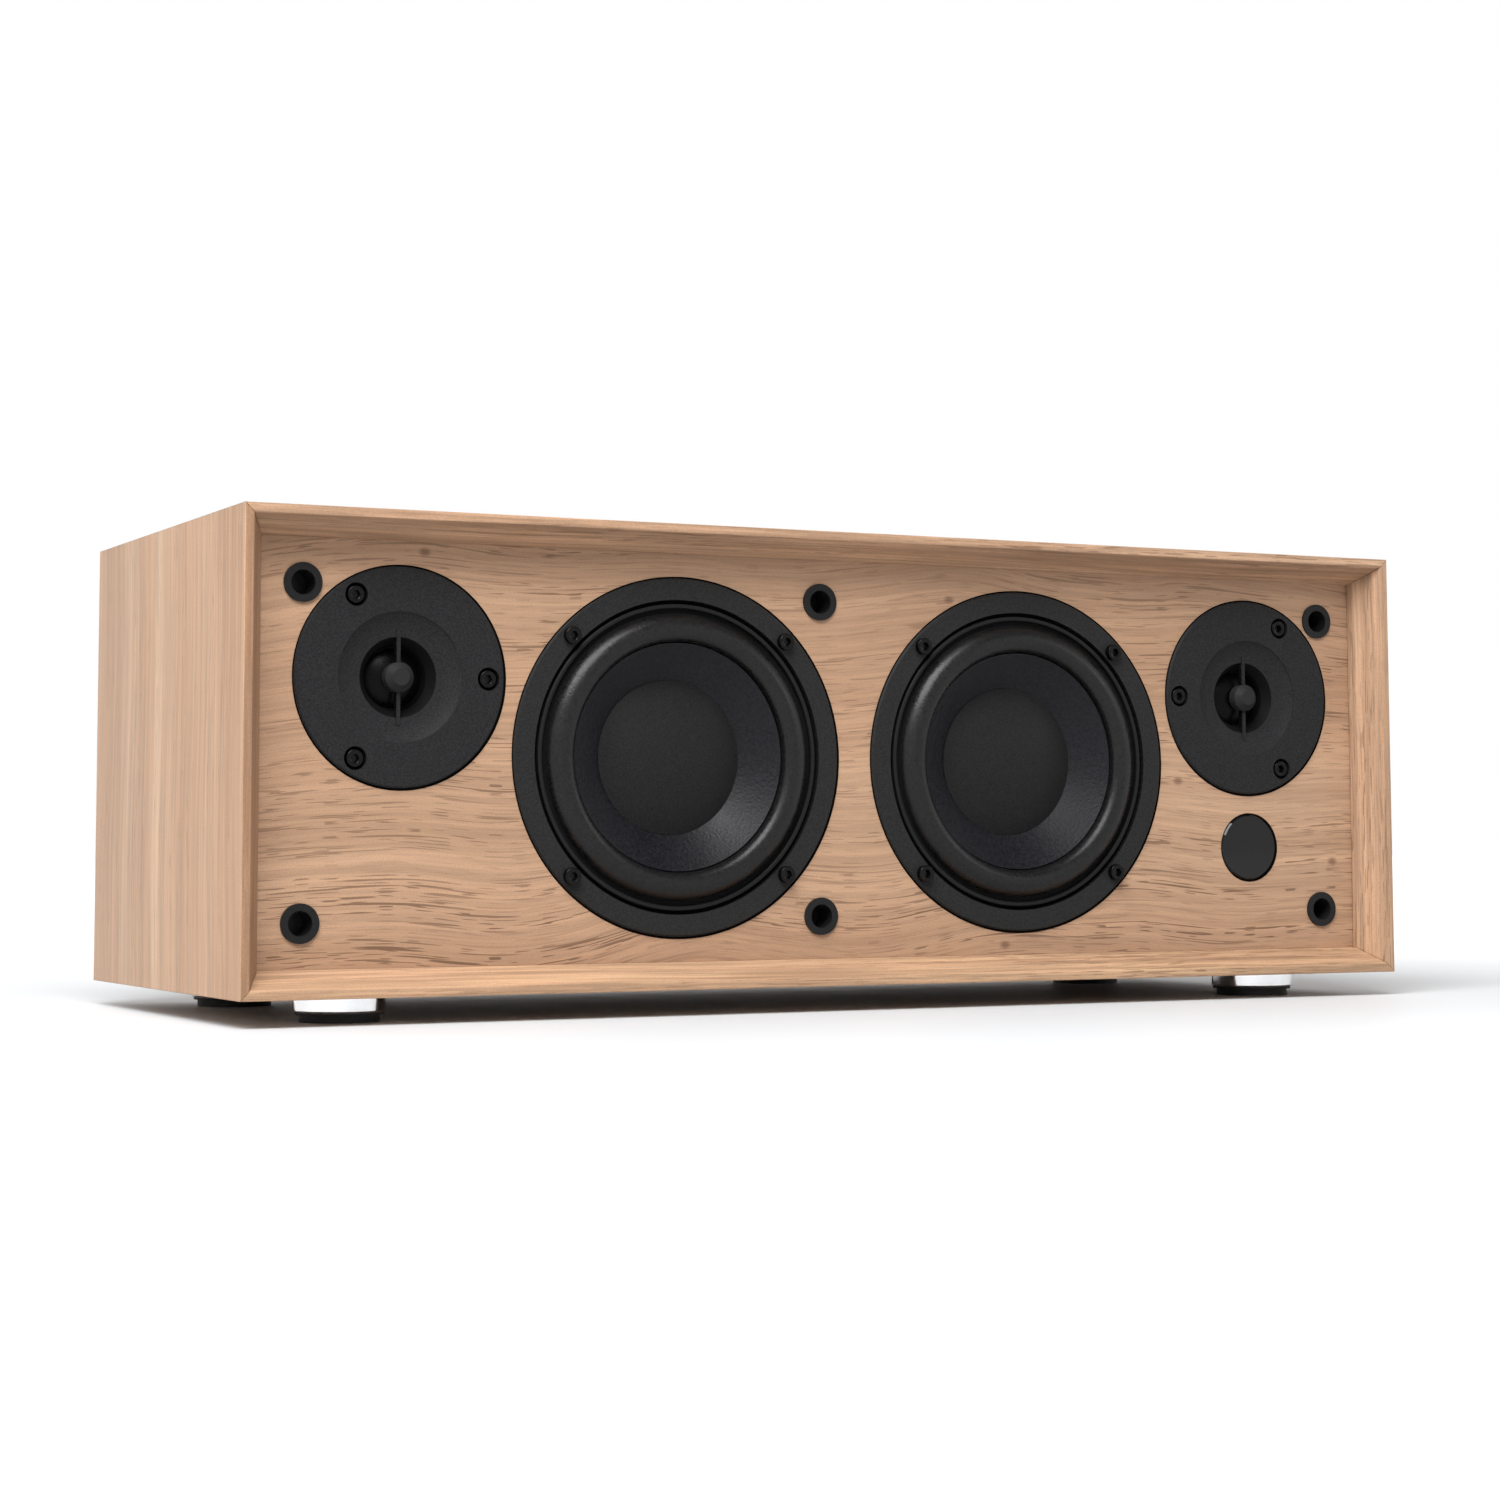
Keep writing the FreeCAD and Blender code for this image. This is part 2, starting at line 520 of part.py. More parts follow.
def front_baffle():
    """The baffle with rebates for the flanges, cut-outs, socket holes and pilot holes for the screws."""
    body = new_body("front_baffle", y=BAFFLE, z=MIDDLE)
    blank = new_sketch(body, "XZ_Plane")
    rectangle(blank, f"-{PANEL_HALF_WIDTH}", PANEL_HALF_WIDTH, f"-{PANEL_HALF_HEIGHT}", PANEL_HALF_HEIGHT)
    pad(body, blank, "baffle_thickness", reverse=True)
    holes = new_sketch(body, "XZ_Plane")
    woofer_rebates = new_sketch(body, "XZ_Plane")
    tweeter_rebates = new_sketch(body, "XZ_Plane")
    lens_rebate = new_sketch(body, "XZ_Plane")
    woofer_pilots = new_sketch(body, "XZ_Plane")
    tweeter_pilots = new_sketch(body, "XZ_Plane")
    pilot = "(driver_shank_radius + pilot_clearance)"
    for side, sign in SIDES.items():
        x = f"({sign} * {WOOFER_X})"
        circle(holes, x, "0", f"({WOOFER_RADIUS} - woofer_seat)")
        circle(woofer_rebates, x, "0", f"({WOOFER_RADIUS} + rebate_clearance)")
        for angle in WOOFER_ANGLES:
            u, v = around(WOOFER_SCREWS, angle)
            circle(woofer_pilots, f"({x} + {u})", v, pilot)
        x = f"({sign} * {TWEETER_X})"
        circle(holes, x, "tweeter_rise", f"({TWEETER_RADIUS} - tweeter_seat)")
        circle(tweeter_rebates, x, "tweeter_rise", f"({TWEETER_RADIUS} + rebate_clearance)")
        for angle in TWEETER_ANGLES[side]:
            u, v = around(TWEETER_SCREWS, angle)
            circle(tweeter_pilots, f"({x} + {u})", f"(tweeter_rise + {v})", pilot)
    for x, z in socket_places():
        circle(holes, x, z, "(socket_barrel + pilot_clearance)")
    circle(holes, LENS_X, "-lens_drop", "lens_hole")
    circle(lens_rebate, LENS_X, "-lens_drop", "(lens_radius + lens_clearance)")
    pocket(body, holes)
    pocket(body, woofer_rebates, "(woofer_flange - flange_proud)")
    pocket(body, tweeter_rebates, "(tweeter_flange - flange_proud)")
    pocket(body, lens_rebate, "(lens_thickness - lens_proud)")
    pocket(body, woofer_pilots, "(driver_shank_length - flange_proud + tip_clearance)")
    pocket(body, tweeter_pilots, "(counterbore_depth + tweeter_shank_length - flange_proud + tip_clearance)")
    keep(body)


def plate_screw_places():
    """The four screws of the connector plate, from its middle."""
    u, v = "(connector_width / 2 - plate_screw_inset)", "(connector_height / 2 - plate_screw_inset)"
    return [(f"{a}{u}", f"{b}{v}") for a in ("-", "") for b in ("-", "")]


def rear_panel():
    """The rear panel with the opening for the electronics."""
    body = new_body("rear_panel", y=REAR, z=MIDDLE)
    blank = new_sketch(body, "XZ_Plane")
    rectangle(blank, f"-{PANEL_HALF_WIDTH}", PANEL_HALF_WIDTH, f"-{PANEL_HALF_HEIGHT}", PANEL_HALF_HEIGHT)
    pad(body, blank, "rear_thickness")
    opening = new_sketch(body, "XZ_Plane")
    half_width = "(connector_width / 2 - connector_lap)"
    half_height = "(connector_height / 2 - connector_lap)"
    low, high = f"(-connector_drop - {half_height})", f"(-connector_drop + {half_height})"
    rectangle(opening, f"-{half_width}", half_width, low, high)
    pocket(body, opening, reverse=True)
    pilots = new_sketch(body, "XZ_Plane")
    for x, z in plate_screw_places():
        circle(pilots, x, f"({z} - connector_drop)", "(plate_shank_radius + pilot_clearance)")
    pocket(body, pilots, "(plate_shank_length - connector_plate + tip_clearance)", reverse=True)
    keep(body)


front_baffle()
rear_panel()


# Screws


def screw(label, place, axis, turn, head, shank, hexagon):
    """A screw along Y with its head towards the front: head and shank are (radius, length) pairs."""
    body = new_body(label, *place, axis=axis, turn=turn)
    revolve(body, "XY_Plane", [
        ("0", f"-{head[1]}"), (head[0], f"-{head[1]}"), (head[0], "0"), (shank[0], "0"),
        (shank[0], shank[1]), ("0", shank[1]),
    ])
    if hexagon:
        key = new_sketch(body, "XZ_Plane", head[1])
        outline(key, [around("hex_radius", angle) for angle in range(0, 360, 60)])
        pocket(body, key, "hex_depth")
    return body


# Woofers


def window_corner(radius, side):
    """A corner of a basket window: on a circle, half a window's width off the middle line."""
    return f"({side} * window_half_width)", f"(({radius})^2 - window_half_width^2)^0.5"


def basket(side, place):
    """The cast basket: flange, ledge for the surround, open spoked wall, spider seat and floor."""
    body = new_body(f"woofer_{side}_basket", *place)
    wall_end = "(woofer_flange + basket_straight)"
    floor = "(basket_depth - basket_floor)"
    revolve(body, "XY_Plane", [
        (FLANGE_BORE, "0"), (f"({WOOFER_RADIUS} - edge_chamfer)", "0"), (WOOFER_RADIUS, "edge_chamfer"),
        (WOOFER_RADIUS, "woofer_flange"), (WOOFER_BODY, "woofer_flange"), (WOOFER_BODY, wall_end),
        (BASKET_BASE, floor), (BASKET_BASE, "basket_depth"),
        (f"({PLATE_BORE} + bore_margin)", "basket_depth"), (f"({PLATE_BORE} + bore_margin)", floor),
        (f"({BASKET_BASE} - basket_wall)", floor), (SPIDER_SEAT, "spider_depth"),
        (f"({SPIDER_RADIUS} + glue_gap)", "spider_depth"), (LEDGE_BORE, wall_end), (LEDGE_BORE, LEDGE),
        (FLANGE_BORE, LEDGE),
    ])
    opening = new_sketch(body, "XZ_Plane")
    low_left, low_right = window_corner(WINDOW_INNER, -1), window_corner(WINDOW_INNER, 1)
    high_left, high_right = window_corner(WINDOW_OUTER, -1), window_corner(WINDOW_OUTER, 1)
    outline(opening, [
        (*low_left, WINDOW_INNER, 1), low_right, (*high_right, WINDOW_OUTER, -1), high_left,
    ])
    cut = pocket(body, opening)
    windows = body.newObject("PartDesign::PolarPattern", "Windows")
    windows.Originals = [cut]
    windows.Axis = (origin(body, "Y_Axis"), [""])
    windows.Angle = 360
    windows.Occurrences = len(WOOFER_ANGLES)
    body.Tip = windows
    holes = new_sketch(body, "XZ_Plane")
    for angle in WOOFER_ANGLES:
        u, v = around(WOOFER_SCREWS, angle)
        circle(holes, u, v, "(driver_shank_radius + pilot_clearance)")
    pocket(body, holes)
    keep(body)


def surround(side, place):
    """The rubber surround: a flat lip on the ledge and one half-roll in to the cone."""
    body = new_body(f"woofer_{side}_surround", *place)
    slope = f"({LIP_FACE} - cone_edge_depth)"
    span = f"({ROLL_OUTER} - {ROLL_INNER})"
    front = sagged(f"(({span})^2 + ({slope})^2)^0.5", "roll_rise")
    back = sagged(f"(({span} - 2 * surround_thickness)^2 + ({slope})^2)^0.5", "roll_rise")
    inner_back = "(cone_edge_depth + surround_thickness)"
    revolve(body, "XY_Plane", [
        (TRIM_OUTER, LIP_FACE), (ROLL_OUTER, LIP_FACE, front, 1), (ROLL_INNER, "cone_edge_depth"),
        (ROLL_INNER, inner_back), (f"({ROLL_INNER} + surround_thickness)", inner_back, back, -1),
        (f"({ROLL_OUTER} - surround_thickness)", LEDGE), (TRIM_OUTER, LEDGE),
    ])
    keep(body)


def trim_ring(side, place):
    """The ring that clamps the surround's lip."""
    body = new_body(f"woofer_{side}_trim_ring", *place)
    revolve(body, "XY_Plane", [
        (TRIM_INNER, "trim_drop"), (TRIM_OUTER, "trim_drop"), (TRIM_OUTER, LIP_FACE), (TRIM_INNER, LIP_FACE),
    ])
    keep(body)


def cone(side, place):
    """The straight-sided cone, from its edge in to the voice coil former."""
    body = new_body(f"woofer_{side}_cone", *place)
    revolve(body, "XY_Plane", [
        (CONE_RADIUS, "cone_edge_depth"), (CONE_RADIUS, "(cone_edge_depth + cone_thickness)"),
        (NECK, f"({CONE_NECK_DEPTH} + cone_thickness)"), (NECK, CONE_NECK_DEPTH),
    ])
    keep(body)


def dust_cap(side, place):
    """The domed cap over the voice coil, bonded to the cone."""
    body = new_body(f"woofer_{side}_dust_cap", *place)
    inside = "(cap_radius - cap_thickness)"
    outer = sagged("2 * cap_radius", "cap_rise")
    inner = sagged(f"2 * {inside}", "cap_rise - cap_thickness")
    revolve(body, "XY_Plane", [
        ("cap_radius", CAP_RIM, outer, 1), ("0", f"({CAP_RIM} - cap_rise)"),
        ("0", f"({CAP_RIM} - cap_rise + cap_thickness)", inner, -1), (inside, CAP_RIM),
    ])
    keep(body)


def voice_coil(side, place):
    """The former with its winding, centred in the magnet gap."""
    body = new_body(f"woofer_{side}_voice_coil", *place)
    start, end = f"({WINDING_MIDDLE} - winding_height / 2)", f"({WINDING_MIDDLE} + winding_height / 2)"
    top = f"({CONE_NECK_DEPTH} - former_proud)"
    revolve(body, "XY_Plane", [
        ("coil_radius", top), (FORMER, top), (FORMER, start), (WINDING, start), (WINDING, end),
        ("coil_radius", end),
    ])
    keep(body)


def spider(side, place):
    """The corrugated cloth disc that centres the voice coil: two waves between former and seat."""
    body = new_body(f"woofer_{side}_spider", *place)
    base = "(spider_depth - spider_thickness)"
    waves = 4
    run = f"(({SPIDER_SEAT} - {SPIDER_INNER}) / {waves})"
    crests = [f"({base} - spider_wave * {i % 2})" for i in range(waves + 1)]
    stations = [f"({SPIDER_INNER} + {i} * {run})" for i in range(waves + 1)]
    front = list(zip(stations, crests)) + [(SPIDER_RADIUS, base)]
    back = [(r, f"({y} + spider_thickness)") for r, y in reversed(front)]
    revolve(body, "XY_Plane", front + back)
    keep(body)


def motor(side, place):
    """The magnet system: top plate, ring magnet and yoke with its vented pole."""
    body = new_body(f"woofer_{side}_top_plate", *place)
    revolve(body, "XY_Plane", [
        (PLATE_BORE, "basket_depth"), ("plate_radius", "basket_depth"), ("plate_radius", MAGNET_FACE),
        (PLATE_BORE, MAGNET_FACE),
    ])
    keep(body)
    body = new_body(f"woofer_{side}_magnet", *place)
    revolve(body, "XY_Plane", [
        ("magnet_bore", MAGNET_FACE), ("magnet_radius", MAGNET_FACE), ("magnet_radius", YOKE_FACE),
        ("magnet_bore", YOKE_FACE),
    ])
    keep(body)
    body = new_body(f"woofer_{side}_yoke", *place)
    revolve(body, "XY_Plane", [
        ("vent_radius", "basket_depth"), (POLE, "basket_depth"), (POLE, YOKE_FACE),
        ("plate_radius", YOKE_FACE), ("plate_radius", f"({YOKE_FACE} + yoke_thickness)"),
        ("vent_radius", f"({YOKE_FACE} + yoke_thickness)"),
    ])
    keep(body)


woofer_screws = []
for side, sign in SIDES.items():
    woofer_x = f"({sign} * {WOOFER_X})"
    woofer_place = (woofer_x, DRIVER, MIDDLE)
    for make in (basket, surround, trim_ring, cone, dust_cap, voice_coil, spider, motor):
        make(side, woofer_place)
    for angle in WOOFER_ANGLES:
        u, v = around(WOOFER_SCREWS, angle)
        woofer_screws.append(screw(
            f"woofer_screw_{side}_{angle}", (f"({woofer_x} + {u})", DRIVER, f"({MIDDLE} + {v})"),
            (0, 1, 0), 0, ("driver_head_radius", "driver_head_height"),
            ("driver_shank_radius", "driver_shank_length"), True))
group("woofer_screws", woofer_screws)


# Tweeters


def faceplate(side, place):
    """The faceplate, moulded in one with the bridge and the phase plug in front of the dome."""
    body = new_body(f"tweeter_{side}_faceplate", *place)
    chord = "((dish_radius - throat_radius)^2 + (throat_depth - dish_step)^2)^0.5"
    revolve(body, "XY_Plane", [
        ("dish_radius", "0"), (f"({TWEETER_RADIUS} - edge_chamfer)", "0"), (TWEETER_RADIUS, "edge_chamfer"),
        (TWEETER_RADIUS, "tweeter_flange"), (TWEETER_BODY, "tweeter_flange"), (TWEETER_BODY, "boss_depth"),
        (DOME_BORE, "boss_depth"), (DOME_BORE, "bowl_depth"),
        ("throat_radius", "throat_depth", sagged(chord, "dish_sag"), 1), ("dish_radius", "dish_step"),
    ])
    bridge = new_sketch(body, "XZ_Plane", "-blade_front")
    half = "(blade_thickness / 2)"
    rectangle(bridge, f"-{half}", half, "-blade_reach", "blade_reach")
    pad(body, bridge, "blade_depth", reverse=True)
    plug_back = "(blade_front + blade_depth)"
    shoulder = "(plug_taper - plug_proud)"
    revolve(body, "XY_Plane", [
        ("0", "-plug_proud"), ("plug_face", "-plug_proud"), ("plug_radius", shoulder),
        ("plug_radius", plug_back), ("0", plug_back),
    ])
    recesses = new_sketch(body, "XZ_Plane")
    holes = new_sketch(body, "XZ_Plane")
    for angle in TWEETER_ANGLES[side]:
        u, v = around(TWEETER_SCREWS, angle)
        circle(recesses, u, v, "counterbore_radius")
        circle(holes, u, v, "(driver_shank_radius + pilot_clearance)")
    pocket(body, recesses, "counterbore_depth")
    pocket(body, holes)
    keep(body)


def tweeter_dome(side, place):
    """The one-piece diaphragm: a dome with a flat rim that the faceplate clamps."""
    body = new_body(f"tweeter_{side}_dome", *place)
    crown = sagged("2 * dome_radius", "dome_rise")
    revolve(body, "XY_Plane", [
        ("dome_rim", "boss_depth"), ("dome_radius", "boss_depth", crown, 1),
        ("0", "(boss_depth - dome_rise)"), ("0", f"({DOME_BACK} - dome_rise)", crown, -1),
        ("dome_radius", DOME_BACK), ("dome_rim", DOME_BACK),
    ])
    keep(body)


def tweeter_motor(side, place):
    """Voice coil, top plate, magnet and back plate with its pole."""
    coil_face = f"({DOME_BACK} + glue_gap / 2)"
    coil_back = f"({coil_face} + tweeter_coil_length)"
    body = new_body(f"tweeter_{side}_voice_coil", *place)
    revolve(body, "XY_Plane", [
        (TWEETER_COIL, coil_face), ("dome_radius", coil_face), ("dome_radius", coil_back),
        (TWEETER_COIL, coil_back),
    ])
    keep(body)
    body = new_body(f"tweeter_{side}_top_plate", *place)
    revolve(body, "XY_Plane", [
        (TWEETER_BORE, DOME_BACK), (TWEETER_PLATE, DOME_BACK),
        (TWEETER_PLATE, TWEETER_MAGNET_FACE), (TWEETER_BORE, TWEETER_MAGNET_FACE),
    ])
    keep(body)
    body = new_body(f"tweeter_{side}_magnet", *place)
    revolve(body, "XY_Plane", [
        ("tweeter_magnet_bore", TWEETER_MAGNET_FACE), (TWEETER_MAGNET, TWEETER_MAGNET_FACE),
        (TWEETER_MAGNET, TWEETER_BACK_FACE), ("tweeter_magnet_bore", TWEETER_BACK_FACE),
    ])
    keep(body)
    body = new_body(f"tweeter_{side}_back_plate", *place)
    pole_face = f"({DOME_BACK} + magnet_gap)"
    back = f"({TWEETER_BACK_FACE} + tweeter_back_plate)"
    revolve(body, "XY_Plane", [
        ("0", pole_face), (TWEETER_POLE, pole_face), (TWEETER_POLE, TWEETER_BACK_FACE),
        (TWEETER_PLATE, TWEETER_BACK_FACE), (TWEETER_PLATE, back), ("0", back),
    ])
    keep(body)


tweeter_screws = []
for side, sign in SIDES.items():
    tweeter_x, tweeter_z = f"({sign} * {TWEETER_X})", f"({MIDDLE} + tweeter_rise)"
    tweeter_place = (tweeter_x, DRIVER, tweeter_z)
    for make in (faceplate, tweeter_dome, tweeter_motor):
        make(side, tweeter_place)
    for angle in TWEETER_ANGLES[side]:
        u, v = around(TWEETER_SCREWS, angle)
        head_seat = f"({DRIVER} + counterbore_depth)"
        tweeter_screws.append(screw(
            f"tweeter_screw_{side}_{angle}", (f"({tweeter_x} + {u})", head_seat, f"({tweeter_z} + {v})"),
            (0, 1, 0), 0, ("driver_head_radius", "tweeter_head_height"),
            ("driver_shank_radius", "tweeter_shank_length"), True))
group("tweeter_screws", tweeter_screws)


# Grille sockets and the remote window


def grille_socket(label, x, z):
    """A blind push-in socket for a grille peg."""
    body = new_body(label, x, BAFFLE, f"({MIDDLE} + {z})")
    bore_end = "(socket_length - socket_floor)"
    revolve(body, "XY_Plane", [
        ("socket_bore", "-socket_flange"), ("socket_flange_radius", "-socket_flange"),
        ("socket_flange_radius", "0"), ("socket_barrel", "0"), ("socket_barrel", "socket_length"),
        ("0", "socket_length"), ("0", bore_end), ("socket_bore", bore_end),
    ])
    return body


group("grille_sockets", [grille_socket(f"grille_socket_{i}", *at) for i, at in enumerate(socket_places())])


def remote_window():
    """The round dark lens in its rebate, and the receiver board on the back of the baffle."""
    place = (LENS_X, BAFFLE, f"({MIDDLE} - lens_drop)")
    body = new_body("remote_window", *place)
    revolve(body, "XY_Plane", [
        ("0", "-lens_proud"), ("(lens_radius - edge_chamfer)", "-lens_proud"),
        ("lens_radius", "(edge_chamfer - lens_proud)"), ("lens_radius", "(lens_thickness - lens_proud)"),
        ("0", "(lens_thickness - lens_proud)"),
    ])
    keep(body)
    body = new_body("receiver_board", *place)
    half_width, half_height = "(receiver_width / 2)", "(receiver_height / 2)"
    plate = new_sketch(body, "XZ_Plane", "-baffle_thickness")
    rectangle(plate, f"-{half_width}", half_width, f"-{half_height}", half_height)
    pad(body, plate, "circuit_board", reverse=True)
    half_width, half_height = "(sensor_width / 2)", "(sensor_height / 2)"
    sensor = new_sketch(body, "XZ_Plane", "-baffle_thickness")
    rectangle(sensor, f"-{half_width}", half_width, f"-{half_height}", half_height)
    pad(body, sensor, "sensor_length")
    keep(body)


remote_window()


# Feet


def foot_cup(label, x, y):
    """A chromed cup, hollow below, screwed to the bottom board."""
    body = new_body(label, x, y, "pad_height")
    ceiling = "(cup_height - cup_web)"
    hole = "(foot_shank_radius + pilot_clearance)"
    revolve(body, "XZ_Plane", [
        ("cup_recess", "0"), ("(cup_radius - cup_chamfer)", "0"), ("cup_radius", "cup_chamfer"),
        ("cup_radius", "(cup_height - cup_chamfer)"), ("(cup_radius - cup_chamfer)", "cup_height"),
        (hole, "cup_height"), (hole, ceiling), ("cup_recess", ceiling),
    ])
    return body


def foot_pad(label, x, y):
    """A stepped rubber pad pushed into the cup."""
    body = new_body(label, x, y)
    shoulder = "(pad_height - pad_shoulder_height)"
    plug = "(cup_recess - pad_clearance)"
    revolve(body, "XZ_Plane", [
        ("0", "0"), ("pad_radius", "0"), ("pad_radius", shoulder), ("pad_shoulder", shoulder),
        ("pad_shoulder", "pad_height"), (plug, "pad_height"), (plug, "(pad_height + pad_plug)"),
        ("0", "(pad_height + pad_plug)"),
    ])
    return body


foot_seat = f"({BOX_FLOOR} - cup_web)"
feet = list(enumerate(foot_places()))
group("foot_cups", [foot_cup(f"foot_cup_{i}", *at) for i, at in feet])
group("foot_pads", [foot_pad(f"foot_pad_{i}", *at) for i, at in feet])
group("foot_screws", [
    screw(f"foot_screw_{i}", (*at, foot_seat), (1, 0, 0), 90, ("foot_head_radius", "foot_head_height"),
          ("foot_shank_radius", "foot_shank_length"), False)
    for i, at in feet
])


# Electronics behind the rear panel, from the middle of the connector plate


def connector_plate():
    """The moulded plate over the rear opening, with pillars for the amplifier board."""
    body = new_body("connector_plate", y=REAR, z=CONNECTOR)
    half_width, half_height = "(connector_width / 2)", "(connector_height / 2)"
    blank = new_sketch(body, "XZ_Plane")
    rectangle(blank, f"-{half_width}", half_width, f"-{half_height}", half_height)
    pad(body, blank, "connector_plate", reverse=True)
    pillars = new_sketch(body, "XZ_Plane")
    across, up = "(amp_width / 2 - pillar_inset)", "(amp_height / 2 - pillar_inset)"
    for u in (f"-{across}", across):
        for v in (f"-{up}", up):
            circle(pillars, u, v, "pillar_radius")
    pad(body, pillars, "pillar_length")
    holes = new_sketch(body, "XZ_Plane")
    for x, z in plate_screw_places():
        circle(holes, x, z, "(plate_shank_radius + pilot_clearance)")
    for u in ("(-jack_offset - jack_spacing / 2)", "(-jack_offset + jack_spacing / 2)"):
        circle(holes, u, "0", "(jack_radius + inlet_clearance)")
    stadium(holes, "inlet_offset", "0", "inlet_span", "(inlet_radius + inlet_clearance)")
    pocket(body, holes)
    keep(body)


def amp_board():
    """The amplifier's circuit board on the ends of the pillars."""
    body = new_body("amp_board", y=REAR, z=CONNECTOR)
    half_width, half_height = "(amp_width / 2)", "(amp_height / 2)"
    plate = new_sketch(body, "XZ_Plane", "pillar_length")
    rectangle(plate, f"-{half_width}", half_width, f"-{half_height}", half_height)
    pad(body, plate, "circuit_board")
    keep(body)


def mains_inlet():
    """A two-pin appliance inlet: flange, body, cavity and contact pins."""
    body = new_body("mains_inlet", "inlet_offset", f"({REAR} + connector_plate)", CONNECTOR)
    flange = new_sketch(body, "XZ_Plane")
    stadium(flange, "0", "0", "inlet_span", "(inlet_radius + inlet_lip)")
    pad(body, flange, "inlet_flange", reverse=True)
    shell = new_sketch(body, "XZ_Plane")
    stadium(shell, "0", "0", "inlet_span", "inlet_radius")
    pad(body, shell, "(connector_plate + pillar_length)")
    cavity = new_sketch(body, "XZ_Plane", "-inlet_flange")
    stadium(cavity, "0", "0", "inlet_span", "(inlet_radius - inlet_wall)")
    pocket(body, cavity, "inlet_depth", reverse=True)
    pins = new_sketch(body, "XZ_Plane", "(inlet_depth - inlet_flange)")
    for u in ("(-pin_spacing / 2)", "(pin_spacing / 2)"):
        circle(pins, u, "0", "pin_radius")
    pad(body, pins, "pin_length", reverse=True)
    keep(body)


def line_in_jacks():
    """Two phono jacks on one block, standing on the amplifier board and reaching through the plate."""
    body = new_body("line_in_jacks", "-jack_offset", REAR, CONNECTOR)
    half_width, half_height = "(jack_spacing / 2 + jack_radius + jack_margin)", "(jack_radius + jack_margin)"
    block = new_sketch(body, "XZ_Plane")
    rectangle(block, f"-{half_width}", half_width, f"-{half_height}", half_height)
    pad(body, block, "pillar_length")
    barrels = new_sketch(body, "XZ_Plane")
    bores = new_sketch(body, "XZ_Plane", "-(connector_plate + jack_reach)")
    for u in ("(-jack_spacing / 2)", "(jack_spacing / 2)"):
        circle(barrels, u, "0", "jack_radius")
        circle(bores, u, "0", "jack_bore")
    pad(body, barrels, "(connector_plate + jack_reach)", reverse=True)
    pocket(body, bores, "jack_depth", reverse=True)
    keep(body)


def power_parts():
    """The transformer and the two filter capacitors on the inner face of the amplifier board."""
    face = f"({REAR} - pillar_length - circuit_board)"
    body = new_body("power_transformer", "transformer_offset", face, CONNECTOR)
    for width, height in (("transformer_core", "transformer_core_height"),
                          ("transformer_winding", "transformer_winding_height")):
        block = new_sketch(body, "XZ_Plane")
        rectangle(block, f"(-{width} / 2)", f"({width} / 2)", f"(-{height} / 2)", f"({height} / 2)")
        pad(body, block, "transformer_length")
    keep(body)
    cans = []
    for i, sign in enumerate(("-1", "1")):
        can = new_body(f"filter_capacitor_{i}", f"(-capacitor_offset + {sign} * capacitor_spacing / 2)",
                       face, CONNECTOR)
        disc = new_sketch(can, "XZ_Plane")
        circle(disc, "0", "0", "capacitor_radius")
        pad(can, disc, "capacitor_length")
        cans.append(can)
    group("filter_capacitors", cans)


connector_plate()
amp_board()
mains_inlet()
line_in_jacks()
power_parts()
group("plate_screws", [
    screw(f"plate_screw_{i}", (x, f"({REAR} + connector_plate)", f"({CONNECTOR} + {z})"), (0, 0, 1), 180,
          ("plate_head_radius", "plate_head_height"), ("plate_shank_radius", "plate_shank_length"), False)
    for i, (x, z) in enumerate(plate_screw_places())
])

# Every feature and every sub-part is checked before anything is written
doc.recompute()
for item in doc.Objects:
    if {"Invalid", "Error"} & set(item.State):
        raise RuntimeError(f"{item.Name} ({item.Label}) failed: {item.State}")
for sub_part in SUB_PARTS:
    if sub_part.Shape.isNull() or not sub_part.Shape.isValid() or not sub_part.Shape.Solids:
        raise RuntimeError(f"{sub_part.Label} has no valid solid")

os.makedirs("parts", exist_ok=True)
for sub_part in SUB_PARTS:
    sub_part.Shape.exportStep(os.path.join("parts", f"{sub_part.Label}.step"))
    print(f"{sub_part.Label}: {len(sub_part.Shape.Solids)} solids, {sub_part.Shape.Volume:.0f} mm3")
print(f"{len(SUB_PARTS)} sub-parts")
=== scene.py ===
# %% [markdown]
# # A tabletop speaker in oak laminate
# This lesson dresses a finished CAD model of a powered stereo speaker. The CAD frame already holds every
# solid in its true place, in metres, with X to the right, Y to the back and Z up. We load it once, keep it
# as it is, and add what a camera sees: wood grain, paint, rubber, chrome, light and a white studio floor.

import math

